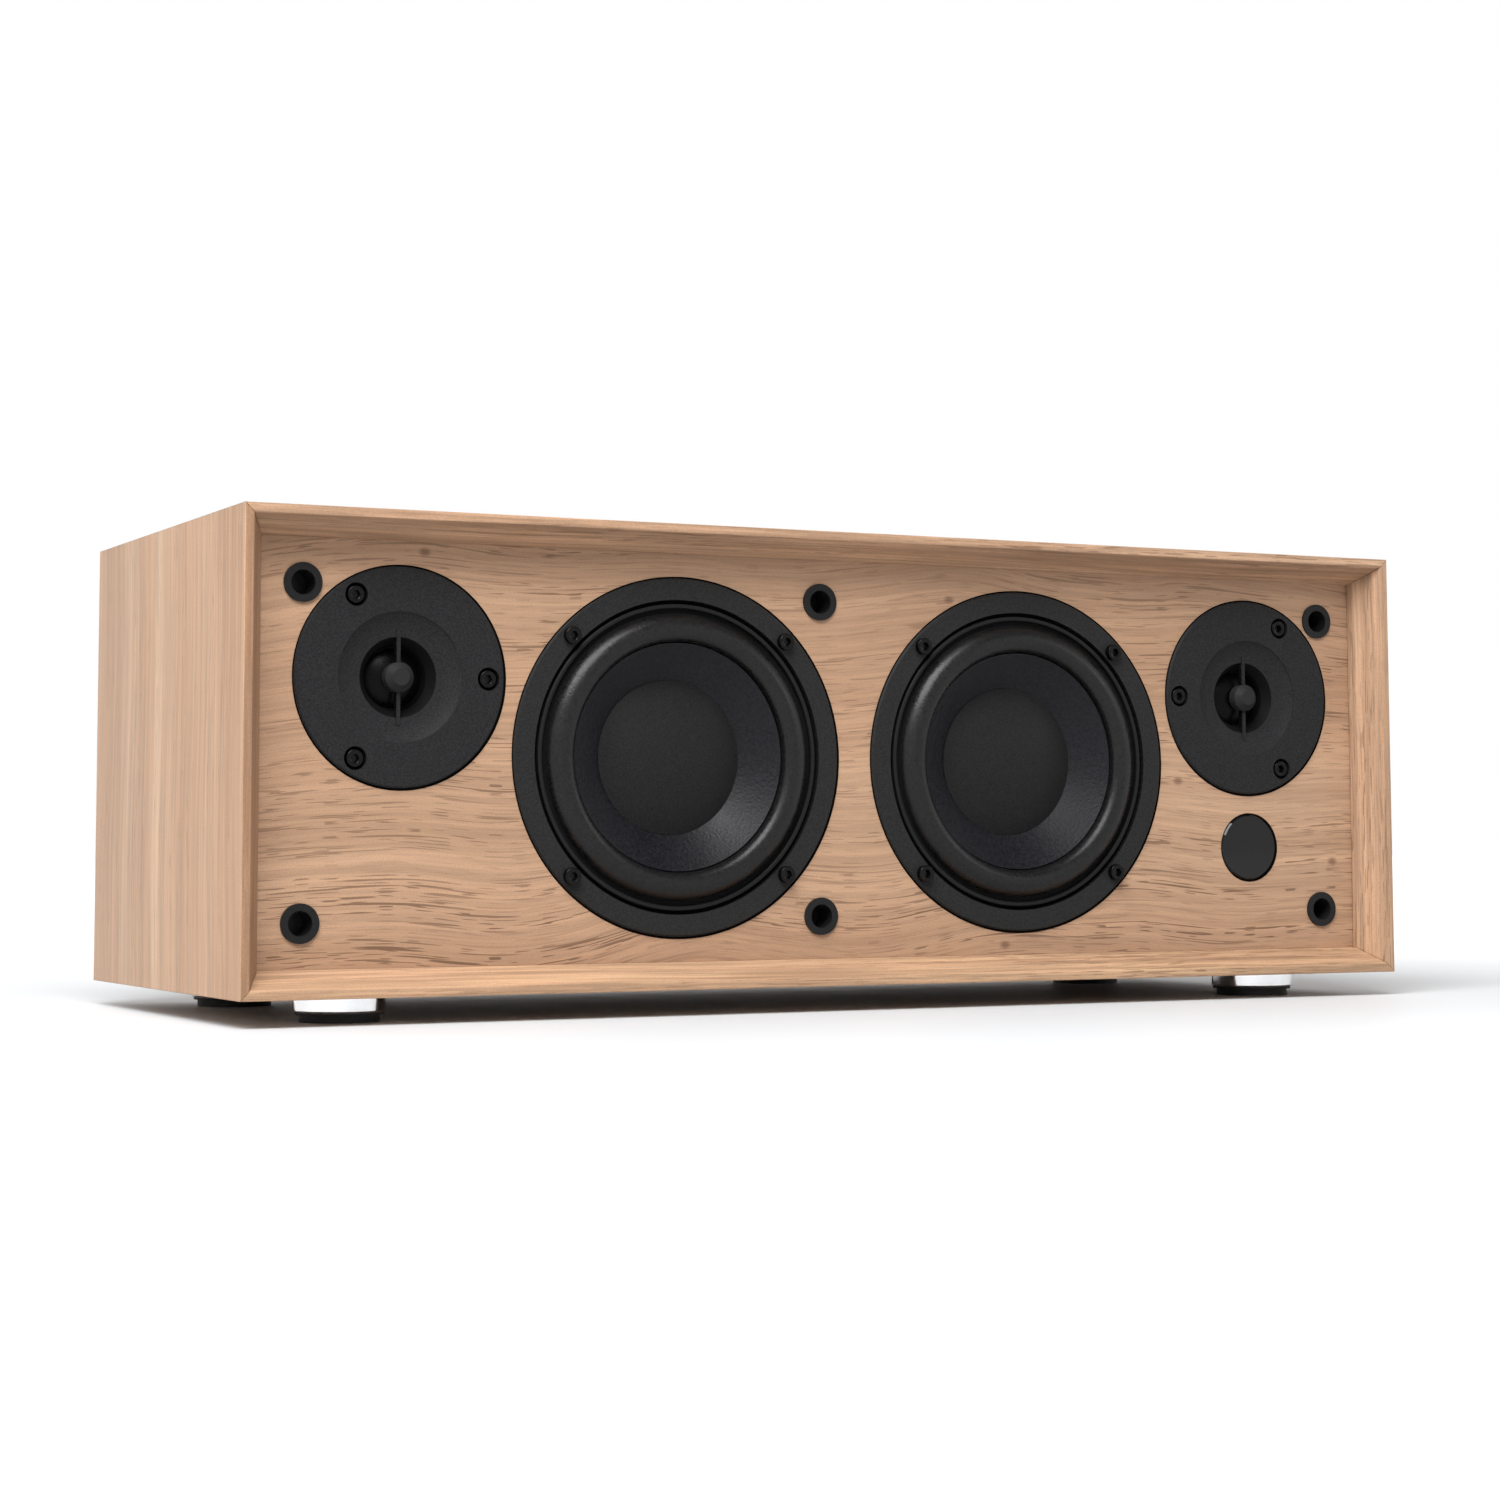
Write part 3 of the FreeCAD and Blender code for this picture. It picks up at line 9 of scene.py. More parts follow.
import bmesh
import bpy
from mathutils import Matrix, Vector
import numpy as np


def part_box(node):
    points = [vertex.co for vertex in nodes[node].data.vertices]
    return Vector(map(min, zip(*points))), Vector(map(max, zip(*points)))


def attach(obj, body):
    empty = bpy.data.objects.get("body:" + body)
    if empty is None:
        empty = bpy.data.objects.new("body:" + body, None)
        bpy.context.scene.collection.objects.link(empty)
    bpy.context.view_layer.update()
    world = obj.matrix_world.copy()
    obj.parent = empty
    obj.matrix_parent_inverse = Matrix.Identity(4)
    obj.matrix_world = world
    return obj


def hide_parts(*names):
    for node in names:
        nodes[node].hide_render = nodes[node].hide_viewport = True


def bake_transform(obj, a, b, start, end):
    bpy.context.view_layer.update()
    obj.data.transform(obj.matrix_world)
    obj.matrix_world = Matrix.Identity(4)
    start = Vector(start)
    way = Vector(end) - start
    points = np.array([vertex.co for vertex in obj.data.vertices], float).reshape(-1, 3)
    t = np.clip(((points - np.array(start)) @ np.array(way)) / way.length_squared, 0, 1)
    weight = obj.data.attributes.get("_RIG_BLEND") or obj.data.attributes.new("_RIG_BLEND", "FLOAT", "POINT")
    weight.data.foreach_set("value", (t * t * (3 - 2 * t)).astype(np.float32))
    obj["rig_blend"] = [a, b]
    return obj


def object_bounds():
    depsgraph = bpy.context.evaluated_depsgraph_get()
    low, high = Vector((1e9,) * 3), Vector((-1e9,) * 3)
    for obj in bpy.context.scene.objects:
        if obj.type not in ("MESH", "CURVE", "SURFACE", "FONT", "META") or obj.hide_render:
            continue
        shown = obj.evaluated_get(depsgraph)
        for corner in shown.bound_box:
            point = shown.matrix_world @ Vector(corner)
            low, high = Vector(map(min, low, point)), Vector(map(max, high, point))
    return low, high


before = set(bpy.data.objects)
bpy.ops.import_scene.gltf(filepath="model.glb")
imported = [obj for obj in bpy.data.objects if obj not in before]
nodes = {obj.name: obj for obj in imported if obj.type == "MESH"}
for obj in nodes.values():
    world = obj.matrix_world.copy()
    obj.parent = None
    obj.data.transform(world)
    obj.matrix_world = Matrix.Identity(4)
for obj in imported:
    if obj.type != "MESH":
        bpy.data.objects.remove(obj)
cad_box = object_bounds()
MM = 0.001
SIDES = ("left", "right")
print("nodes:", len(nodes), "box in mm:", [round(size / MM, 1) for size in cad_box[1] - cad_box[0]])

# %% [markdown]
# ## The camera
# The photograph looks slightly up at the speaker from near the table top, from the left. A camera could be
# aimed by eye, but a fit of the box's corners gives its place and angles, so here they are simply typed in.
# The picture's centre is not the lens's centre: the frame was cropped, which a lens shift repeats.

# %% Camera
CAMERA_PLACE = Vector((-483.5, -953.0, 53.9)) * MM
CAMERA_TURN = math.radians(26.787)
CAMERA_PITCH = math.radians(4.737)
CAMERA_ROLL = math.radians(-0.152)
LENS_MM = 71.63
SENSOR_MM = 36.0
FRAME_SHIFT = -0.1

lens = bpy.data.cameras.new("photo_camera")
lens.sensor_width = SENSOR_MM
lens.lens = LENS_MM
lens.shift_y = FRAME_SHIFT
camera = bpy.data.objects.new("photo_camera", lens)
bpy.context.scene.collection.objects.link(camera)
level = Matrix.Rotation(-CAMERA_TURN, 4, "Z") @ Matrix.Rotation(math.pi / 2 + CAMERA_PITCH, 4, "X")
camera.matrix_world = Matrix.Translation(CAMERA_PLACE) @ level @ Matrix.Rotation(CAMERA_ROLL, 4, "Z")
bpy.context.scene.camera = camera
print("camera distance in mm:", round(CAMERA_PLACE.length / MM))

# %% [markdown]
# ## Node helpers
# Every finish below is procedural: a few textures feed one Principled shader. Writing each node by hand is
# long-winded, so one helper starts a material, and another adds a node, sets its options, and links or sets
# its inputs. Nearly all that follows is made with these two.

# %% Helpers for nodes


def finish(name, colour, roughness, metallic=0.0):
    """A new material with a plain Principled shader; returns the material, its tree and the shader."""
    material = bpy.data.materials.new(name)
    material.use_nodes = True
    shader = material.node_tree.nodes["Principled BSDF"]
    shader.inputs["Base Color"].default_value = (*colour, 1.0)
    shader.inputs["Roughness"].default_value = roughness
    shader.inputs["Metallic"].default_value = metallic
    material.diffuse_color = (*colour, 1.0)
    return material, material.node_tree, shader


def add(tree, kind, inputs=None, **settings):
    """Adds a node, sets its options, and links or sets its inputs by name or number."""
    node = tree.nodes.new(kind)
    for key, setting in settings.items():
        setattr(node, key, setting)
    for key, source in (inputs or {}).items():
        if isinstance(source, bpy.types.NodeSocket):
            tree.links.new(source, node.inputs[key])
        else:
            node.inputs[key].default_value = source
    return node


print("node helpers ready")

# %% [markdown]
# ## Pattern helpers
# A pattern needs a place to start from. UV maps would do, but every piece would have to be unwrapped. Object
# coordinates need nothing, and here they are metres in the speaker's own frame, so a scale of 1000 is one
# wave per millimetre. The helpers stretch them, make noise from them, and mix numbers and colours.

# %% Helpers for patterns
COLOUR_INPUTS = (6, 7)
COLOUR_OUTPUT = 2


def object_place(tree):
    """Object coordinates, in metres."""
    return add(tree, "ShaderNodeTexCoord").outputs["Object"]


def place(tree, scale, offset=(0, 0, 0), source=None):
    """Coordinates, stretched and shifted: the object's own ones unless others are given."""
    if source is None:
        source = object_place(tree)
    return add(tree, "ShaderNodeMapping", {"Vector": source, "Scale": scale, "Location": offset}).outputs[0]


def noise(tree, vector, detail=2.0, roughness=0.5):
    """Soft cloud-like noise between 0 and 1."""
    inputs = {"Vector": vector, "Scale": 1.0, "Detail": detail, "Roughness": roughness}
    return add(tree, "ShaderNodeTexNoise", inputs).outputs[0]


def level_to(tree, source, low, high, to_low=0.0, to_high=1.0):
    """Maps a range of values to another one, with soft ends."""
    inputs = {0: source, 1: low, 2: high, 3: to_low, 4: to_high}
    return add(tree, "ShaderNodeMapRange", inputs, interpolation_type="SMOOTHSTEP").outputs[0]


def maths(tree, operation, first, second=0.0):
    """One sum on numbers."""
    return add(tree, "ShaderNodeMath", {0: first, 1: second}, operation=operation).outputs[0]


def vectors(tree, operation, first, second=(0.0, 0.0, 0.0)):
    """One sum on vectors."""
    return add(tree, "ShaderNodeVectorMath", {0: first, 1: second}, operation=operation).outputs[0]


def length_of(tree, vector):
    """How long a vector is."""
    return add(tree, "ShaderNodeVectorMath", {0: vector}, operation="LENGTH").outputs["Value"]


def along_axis(tree, vector, axis):
    """One axis of a vector."""
    return add(tree, "ShaderNodeSeparateXYZ", {0: vector}).outputs[axis]


def blend_colours(tree, factor, first, second):
    """Mixes two colours by a factor; the Mix node keeps colours on sockets of their own."""
    node = add(tree, "ShaderNodeMix", {"Factor": factor}, data_type="RGBA")
    for key, source in zip(COLOUR_INPUTS, (first, second)):
        if isinstance(source, bpy.types.NodeSocket):
            tree.links.new(source, node.inputs[key])
        else:
            node.inputs[key].default_value = (*source, 1.0)
    return node.outputs[COLOUR_OUTPUT]


def relief(tree, shader, height, strength, depth_mm):
    """Feeds a height into the shader's normal as bump."""
    bump = add(tree, "ShaderNodeBump", {"Height": height, "Strength": strength, "Distance": depth_mm * MM})
    tree.links.new(bump.outputs[0], shader.inputs["Normal"])


print("pattern helpers ready")

# %% [markdown]
# ## The layers of oak
# The boards are chipboard under an oak laminate. Real oak shows broad growth bands, fine fibres, and short
# dark pores that run with the grain and crowd together in places. A wave texture would look like stripes, so
# each layer is noise stretched along the grain: wide and slow for the bands, narrow and quick for the fibres,
# and a thresholded one for the pores. A layer is written down as its waves per metre along and across the
# grain, then the detail and roughness of its noise. Its range gives the noise values between which it fades
# in, and two more numbers, if any, say from what amount to what amount.

# %% Oak tones and layers
OAK_PALE = (0.7, 0.485, 0.33)
OAK_LIGHT = (0.6, 0.388, 0.252)
OAK_GOLD = (0.58, 0.372, 0.222)
OAK_SOFT = (0.55, 0.345, 0.22)
OAK_MID = (0.5, 0.303, 0.187)
OAK_SHADE = (0.475, 0.288, 0.178)
OAK_DEEP = (0.46, 0.275, 0.168)
OAK_DARK = (0.38, 0.215, 0.125)
PORE_BROWN = (0.17, 0.092, 0.052)
KNOT_BROWN = (0.15, 0.075, 0.042)

BEND_WAVES = (7.0, 3.0)
BEND_DETAIL = 1.5
BAND_WAVES = 1.4
BAND_DETAIL = 3.0
BAND_RANGE = (0.36, 0.64)
STREAK_WAVES = 4.0
STREAKS_PER_BAND = 5
STREAK_NOISE = (2.0, 0.6)
STREAK_RANGE = (0.45, 0.68)
FIBRES = (14.0, 800.0, 2.0, 0.65)
FIBRE_RANGE = (0.3, 0.7)
RIPPLES = (9.0, 340.0, 1.0, 0.5)
RIPPLE_RANGE = (0.38, 0.62)
PORE_ROWS = (6.0, 170.0, 1.0, 0.5)
ROW_RANGE = (0.42, 0.6, 0.3, 1.0)
PORE_PATCHES = (5.0, 16.0, 1.0, 0.5)
PATCH_RANGE = (0.4, 0.6, 0.6, 1.0)
SHORT_PORES = (110.0, 1900.0, 0.0, 0.5)
SHORT_RANGE = (0.63, 0.69)
LONG_PORES = (45.0, 1700.0, 0.0, 0.5)
LONG_RANGE = (0.66, 0.72)
SPECKLE_WAVES = (1900, 1900, 1900)
SPECKLE_DETAIL = 1.0
SPECKLE_RANGE = (0.25, 0.75, 0.93, 1.06)
print("waves of pores across a millimetre:", [round(waves[1] * MM, 1) for waves in (SHORT_PORES, LONG_PORES)])

# %% [markdown]
# ## Lines that wander, streaks and knots
# In flat-sawn wood the lines wander. A slow noise bends the coordinates sideways first, and every layer that
# reads them then bends alike. Single things are placed on top one by one, because noise never puts them where
# the real board has them: pale and dark streaks, the darker sawn edge along the front, and small knots. Some are
# painted shade: the dark band high on the baffle under the top board, the dark band along the front of the
# left side, and most of the left board's dark front edge, which faces away from the lamps.

# %% Helpers for the grain
KNOT_SIZE = 2.0
KNOT_CORE = 0.2
KNOT_SHARE = 0.7
KNOT_STRETCH = (0.7, 0.0, 1.0)
MID_NOISE = (0.5, 0.5, 0.5)


def grain_axes(along, along_waves, across_waves):
    """Waves per metre for each axis: one value along the grain and another across it."""
    return tuple(along_waves if axis == along else across_waves for axis in "XYZ")


def bent_place(tree, along, across, wander, shift):
    """Object coordinates that stray across the grain, by wander in metres at most."""
    slow = place(tree, grain_axes(along, *BEND_WAVES), shift)
    bend = add(tree, "ShaderNodeTexNoise", {"Vector": slow, "Scale": 1.0, "Detail": BEND_DETAIL}).outputs[1]
    sway = tuple(wander * 2 if axis == across else 0.0 for axis in "XYZ")
    swayed = vectors(tree, "MULTIPLY", vectors(tree, "SUBTRACT", bend, MID_NOISE), sway)
    return vectors(tree, "ADD", object_place(tree), swayed)


def add_stripe(tree, ground, depth, stripe):
    """Lays one band of another tone, a streak of the wood or a band of painted shade: its middle and its reach in
    mm, the tone and how much of it.
    """
    where, reach, tone, share = stripe
    aside = maths(tree, "ABSOLUTE", maths(tree, "SUBTRACT", depth, where * MM))
    return blend_colours(tree, level_to(tree, aside, 0.0, reach * MM, share, 0.0), ground, tone)


def add_edge(tree, ground, edge):
    """Darkens what lies behind a board's outer face, so that its sawn front edge differs from the face; on the left
    board most of it is painted shade.
    """
    axis, face, inside, share = edge
    depth = along_axis(tree, object_place(tree), axis)
    return blend_colours(tree, level_to(tree, depth, face * MM, inside * MM, 0.0, share), ground, OAK_DARK)


def add_knot(tree, colour, x, z):
    """Paints one small knot at a place on the baffle, in mm."""
    offset = vectors(tree, "SUBTRACT", object_place(tree), (x * MM, 0.0, z * MM))
    aside = length_of(tree, vectors(tree, "MULTIPLY", offset, KNOT_STRETCH))
    spot = level_to(tree, aside, KNOT_SIZE * KNOT_CORE * MM, KNOT_SIZE * MM, KNOT_SHARE, 0.0)
    return blend_colours(tree, spot, colour, KNOT_BROWN)


print("grain helpers ready")

# %% [markdown]
# ## The oak finish
# One function stacks the layers. The ground colour comes first, from the bands, the streaks and the edge, some of
# them painted shade.
# Fibres, ripples and a fine speckle then make it a little lighter or darker, and the pores and knots are
# painted last. The fibres also vary the gloss, and the pores are pressed in a little with a bump.

# %% Oak finish
OAK_ROUGHNESS = 0.5
OAK_GLOSS = 0.35
SEED_TURNS = (1.0, 0.7, 1.3)
FIBRE_LIFT = 0.8
RIPPLE_DROP = 0.5
RIPPLE_LIFT = 0.4
FIBRE_GLOSS = (0.2, 0.8, 0.44, 0.58)
OAK_BUMP = 0.2
OAK_BUMP_MM = 0.1


def oak(name, along, across, tones, bands, wander, streaks, pores, seed,
        fibre=0.1, knots=(), stripes=(), edge=None):
    """Oak laminate with its grain along one axis; bands is the number of growth bands per metre."""
    material, tree, shader = finish(name, OAK_MID, OAK_ROUGHNESS)
    shader.inputs["Specular IOR Level"].default_value = OAK_GLOSS
    shift = tuple(seed * turn for turn in SEED_TURNS)
    bent = bent_place(tree, along, across, wander, shift)

    def grain(along_waves, across_waves, detail, roughness=0.5):
        scale = grain_axes(along, along_waves, across_waves)
        return noise(tree, place(tree, scale, shift, bent), detail, roughness)

    band_share = level_to(tree, grain(BAND_WAVES, bands, BAND_DETAIL), *BAND_RANGE)
    ground = blend_colours(tree, band_share, *tones)
    for stripe in stripes:
        ground = add_stripe(tree, ground, along_axis(tree, bent, across), stripe)
    if edge is not None:
        ground = add_edge(tree, ground, edge)
    streak = level_to(tree, grain(STREAK_WAVES, bands * STREAKS_PER_BAND, *STREAK_NOISE), *STREAK_RANGE)
    ground = blend_colours(tree, maths(tree, "MULTIPLY", streak, streaks), ground, OAK_DARK)

    fibres = grain(*FIBRES)
    speckle = noise(tree, place(tree, SPECKLE_WAVES, shift), SPECKLE_DETAIL)
    fibre_tint = level_to(tree, fibres, *FIBRE_RANGE, 1.0 - fibre, 1.0 + fibre * FIBRE_LIFT)
    ripple_ends = (1.0 - fibre * RIPPLE_DROP, 1.0 + fibre * RIPPLE_LIFT)
    ripple_tint = level_to(tree, grain(*RIPPLES), *RIPPLE_RANGE, *ripple_ends)
    tint = maths(tree, "MULTIPLY", fibre_tint, ripple_tint)
    tint = maths(tree, "MULTIPLY", tint, level_to(tree, speckle, *SPECKLE_RANGE))
    shaded = vectors(tree, "MULTIPLY", ground, tint)

    rows = level_to(tree, grain(*PORE_ROWS), *ROW_RANGE)
    patches = level_to(tree, grain(*PORE_PATCHES), *PATCH_RANGE)
    short = level_to(tree, grain(*SHORT_PORES), *SHORT_RANGE)
    long = level_to(tree, grain(*LONG_PORES), *LONG_RANGE)
    crowding = maths(tree, "MULTIPLY", rows, patches)
    pits = maths(tree, "MULTIPLY", maths(tree, "MAXIMUM", short, long), crowding)
    colour = blend_colours(tree, maths(tree, "MULTIPLY", pits, pores), shaded, PORE_BROWN)
    for x, z in knots:
        colour = add_knot(tree, colour, x, z)
    tree.links.new(colour, shader.inputs["Base Color"])
    tree.links.new(level_to(tree, fibres, *FIBRE_GLOSS), shader.inputs["Roughness"])
    relief(tree, shader, maths(tree, "SUBTRACT", fibres, pits), OAK_BUMP, OAK_BUMP_MM)
    return material


print("oak finish ready")

# %% [markdown]
# ## One oak for each board
# Every board is cut from another piece of wood, so each gets its own seed, tones and number of bands. The
# top, bottom and right boards show mainly their narrow front edges, with a close, streaky grain. The left
# side is broad and calm, with a few pale streaks. The baffle has wavy lines, clear pores and small knots.

# %% Oak boards
BOARD_TONES = (OAK_DEEP, OAK_LIGHT)
PANEL_TONES = (OAK_MID, OAK_GOLD)
SIDE_TONES = (OAK_SOFT, OAK_LIGHT)
BAFFLE_TONES = (OAK_SHADE, OAK_SOFT)
# Pale and dark streaks of the wood; the broad dark band at -74 mm, along the front, is painted shade.
LEFT_STREAKS_AND_SHADE = (
    (8.0, 8.0, OAK_PALE, 0.8),
    (44.0, 12.0, OAK_PALE, 0.4),
    (26.0, 6.0, OAK_MID, 0.5),
    (-22.0, 14.0, OAK_MID, 0.3),
    (-74.0, 26.0, OAK_MID, 0.8),
    (70.0, 12.0, OAK_MID, 0.4),
)
# Painted shade: the high dark band is the soft shadow under the top board; the low band is lighter.
BAFFLE_SHADE_AND_TONE_BANDS = ((112.0, 36.0, OAK_DARK, 0.36), (52.0, 26.0, OAK_LIGHT, 0.35))
BAFFLE_KNOTS = ((37.7, 138.3), (131.5, 77.0), (198.9, 48.3), (-153.4, 146.8), (58.9, 20.3))
# The left board's front edge is darker wood and, much more, painted shade: it faces away from the lamps.
LEFT_EDGE_AND_SHADE = ("X", -215.9, -215.6, 0.95)
RIGHT_EDGE = ("X", 215.9, 215.6, 0.2)
TOP_EDGE = ("Z", 158.3, 158.0, 0.2)
BOARD_OAK = {
    "top_panel": oak("oak_top", "X", "Y", BOARD_TONES, bands=90.0, wander=0.004, streaks=0.45, pores=0.6,
                     seed=3.0, fibre=0.2, edge=TOP_EDGE),
    "bottom_panel": oak("oak_bottom", "X", "Y", PANEL_TONES, bands=100.0, wander=0.004, streaks=0.45,
                        pores=0.6, seed=8.0, fibre=0.2),
    "left_panel": oak("oak_left_side", "Z", "Y", SIDE_TONES, bands=26.0, wander=0.008, streaks=0.14,
                      pores=0.3, seed=5.4, fibre=0.13, stripes=LEFT_STREAKS_AND_SHADE, edge=LEFT_EDGE_AND_SHADE),
    "right_panel": oak("oak_right_side", "Z", "Y", BOARD_TONES, bands=80.0, wander=0.005, streaks=0.45,
                       pores=0.6, seed=11.0, fibre=0.2, edge=RIGHT_EDGE),
}
BAFFLE_OAK = oak("oak_baffle", "X", "Z", BAFFLE_TONES, bands=30.0, wander=0.022, streaks=0.2, pores=0.88,
                 seed=1.7, knots=BAFFLE_KNOTS, stripes=BAFFLE_SHADE_AND_TONE_BANDS)
REAR_OAK = oak("oak_rear", "X", "Z", BAFFLE_TONES, bands=30.0, wander=0.01, streaks=0.2, pores=0.7, seed=14.0)
print("oak finishes:", [material.name for material in (*BOARD_OAK.values(), BAFFLE_OAK, REAR_OAK)])

# %% [markdown]
# ## Black finishes
# The drivers are almost all black, and only their surfaces tell them apart: satin paint on the woofer
# baskets, spark-textured plastic on the tweeter plates, smooth rubber, a fibrous cone, a matt cap, a glossy
# dome and lens. Each gets its own roughness, gloss and fine relief. The colour stays near black, and the
# studio's reflection does the rest. A relief is three numbers: waves per metre, strength, and depth in mm.

# %% Black finishes
FINE_NOISE = (2.0, 0.6)
SLOW_WAVES = (40, 40, 40)
SLOW_DETAIL = 3.0
CLOUD_RANGE = (0.3, 0.7)


def textured(name, colour, roughness, bumps, spread=0.08, metallic=0.0, gloss=0.5, mottle=0.1):
    """A finish with a fine relief, a mottled colour and a varying roughness."""
    material, tree, shader = finish(name, colour, roughness, metallic)
    shader.inputs["Specular IOR Level"].default_value = gloss
    waves, strength, depth_mm = bumps
    fine = noise(tree, place(tree, (waves, waves, waves)), *FINE_NOISE)
    slow = noise(tree, place(tree, SLOW_WAVES), SLOW_DETAIL)
    mixed = maths(tree, "ADD", maths(tree, "MULTIPLY", fine, 0.5), maths(tree, "MULTIPLY", slow, 0.5))
    rough = level_to(tree, mixed, *CLOUD_RANGE, roughness - spread, roughness + spread)
    tree.links.new(rough, shader.inputs["Roughness"])
    dark = tuple(channel * (1 - mottle) for channel in colour)
    light = tuple(channel * (1 + mottle) for channel in colour)
    cloud = level_to(tree, fine, *CLOUD_RANGE)
    tree.links.new(blend_colours(tree, cloud, dark, light), shader.inputs["Base Color"])
    relief(tree, shader, fine, strength, depth_mm)
    return material


SATIN_BLACK = textured("satin_black_paint", (0.0225, 0.0225, 0.0227), 0.5, (1800, 0.4, 0.1),
                       gloss=0.09, mottle=0.25)
TRIM_BLACK = textured("trim_black", (0.012, 0.012, 0.0123), 0.42, (2000, 0.15, 0.03), gloss=0.12)
RUBBER = textured("surround_rubber", (0.007, 0.007, 0.0074), 0.33, (1100, 0.5, 0.12), gloss=0.26, mottle=0.4)
CONE = textured("cone_fibre", (0.0075, 0.0075, 0.0098), 0.44, (1000, 0.7, 0.2), gloss=0.19, mottle=0.5)
CAP = textured("cap_fibre", (0.015, 0.015, 0.0152), 0.52, (2000, 0.4, 0.1), gloss=0.11, mottle=0.3)
PLATE_BLACK = textured("tweeter_plate_plastic", (0.0215, 0.0215, 0.0228), 0.5, (1800, 0.6, 0.13),
                       gloss=0.08, mottle=0.3)
DOME_BLACK = textured("dome_coating", (0.002, 0.002, 0.0022), 0.3, (1200, 0.05, 0.02), gloss=0.08)
SOCKET_BLACK = textured("socket_plastic", (0.012, 0.012, 0.0122), 0.35, (1800, 0.15, 0.03), gloss=0.16)
SCREW_BLACK = textured("screw_black_oxide", (0.002, 0.002, 0.0021), 0.2, (1500, 0.2, 0.03), gloss=0.16)
# Matt black rings in the gap round each flange: painted shade for the dark gap and its shadow.
GAP_SHADOW_BLACK = textured("painted_gap_shadow", (0.004, 0.004, 0.004), 0.9, (2500, 0.6, 0.1), gloss=0.0)
LENS_BLACK = textured("lens_gloss", (0.003, 0.003, 0.0033), 0.04, (300, 0.01, 0.01), spread=0.02, gloss=0.32)
FOOT_RUBBER = textured("foot_rubber", (0.008, 0.008, 0.008), 0.7, (1500, 0.4, 0.06))
REAR_PLASTIC = textured("rear_plate_plastic", (0.016, 0.016, 0.0165), 0.55, (1300, 0.5, 0.08))
print("materials so far:", len(bpy.data.materials))

# %% [markdown]
# ## Metal and hidden finishes
# The feet are chromed cups, and behind the front there are motors, coils and boards that show only when the
# box is opened. They get plain working finishes from the same function: a metal is one whose colour lies in
# its reflection, so its Metallic value is 1, and ferrite, cloth and circuit board are rough and have none.

# %% Metal and hidden finishes
CHROME = textured("chrome_plate", (0.82, 0.82, 0.83), 0.07, (700, 0.01, 0.01), spread=0.02, metallic=1.0,
                  mottle=0.02)
STEEL = textured("zinc_plated_steel", (0.55, 0.55, 0.53), 0.35, (900, 0.2, 0.03), spread=0.1, metallic=1.0)
FERRITE = textured("ferrite", (0.05, 0.05, 0.052), 0.75, (1200, 0.5, 0.1))
COPPER = textured("copper_wire", (0.55, 0.24, 0.11), 0.35, (3000, 0.3, 0.05), metallic=1.0)
SPIDER_CLOTH = textured("spider_cloth", (0.5, 0.36, 0.17), 0.85, (2500, 0.8, 0.12))
CIRCUIT_GREEN = textured("circuit_board", (0.02, 0.11, 0.05), 0.4, (900, 0.2, 0.03))
CORE_STEEL = textured("transformer_core", (0.12, 0.1, 0.07), 0.55, (800, 0.3, 0.05))
CAN_SLEEVE = textured("capacitor_sleeve", (0.012, 0.015, 0.04), 0.3, (500, 0.05, 0.03))
print("materials so far:", len(bpy.data.materials))

# %% [markdown]
# ## Dark grooves and holes
# A groove or a deep hole stays dark in any light: round the rubber roll, in the tweeter's throat and in the
# wells of its screws. Ray tracing gives most of that shadow, but a white studio shines into every corner, so
# round zones of the finish are painted darker and more matt as well. The two sides of the box are alike, and
# the absolute value of X lets one zone do for both.

# %% Zones
ZONE_EDGE = 0.12


def front_centre(node):
    """The middle of a turned node's front face."""
    low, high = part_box(node)
    return Vector(((low.x + high.x) / 2, low.y, (low.z + high.z) / 2))


def shade_zones(material, zones):
    """Repaints round zones on both sides of the box: centre, radii, front face, tone and least roughness."""
    tree = material.node_tree
    shader = tree.nodes["Principled BSDF"]
    colour = shader.inputs["Base Color"].links[0].from_socket
    rough = shader.inputs["Roughness"].links[0].from_socket
    coordinates = object_place(tree)
    both_sides = vectors(tree, "ABSOLUTE", coordinates)
    depth = along_axis(tree, coordinates, "Y")
    for centre, inner, outer, front, tone, least_rough in zones:
        offset = vectors(tree, "SUBTRACT", both_sides, (centre.x, 0.0, centre.z))
        radius = length_of(tree, vectors(tree, "MULTIPLY", offset, (1.0, 0.0, 1.0)))
        beyond = level_to(tree, radius, (inner - ZONE_EDGE) * MM, inner * MM)
        within = level_to(tree, radius, (outer - ZONE_EDGE) * MM, outer * MM, 1.0, 0.0)
        face = centre.y + front * MM
        behind = level_to(tree, depth, face - ZONE_EDGE * MM, face)
        share = maths(tree, "MULTIPLY", maths(tree, "MULTIPLY", beyond, within), behind)
        colour = blend_colours(tree, share, colour, (tone,) * 3)
        rough = maths(tree, "MAXIMUM", rough, maths(tree, "MULTIPLY", share, least_rough))
    tree.links.new(colour, shader.inputs["Base Color"])
    tree.links.new(rough, shader.inputs["Roughness"])


woofer_centres = {side: front_centre(f"woofer_{side}_basket") for side in SIDES}
tweeter_centres = {side: front_centre(f"tweeter_{side}_faceplate") for side in SIDES}
for side in SIDES:
    tweeter_centres[side].y = woofer_centres[side].y
print("driver flanges lie in mm at:", round(woofer_centres["left"].y / MM, 2))

# %% [markdown]
# ## Where the zones lie
# Radii and depths are in millimetres from the flange's face. The throat has two steps, dark at its rim and
# darker inside, and the phase plug in its middle is left light. The screw wells sit on the same circle and at
# the same angles as the screws that are made further down.

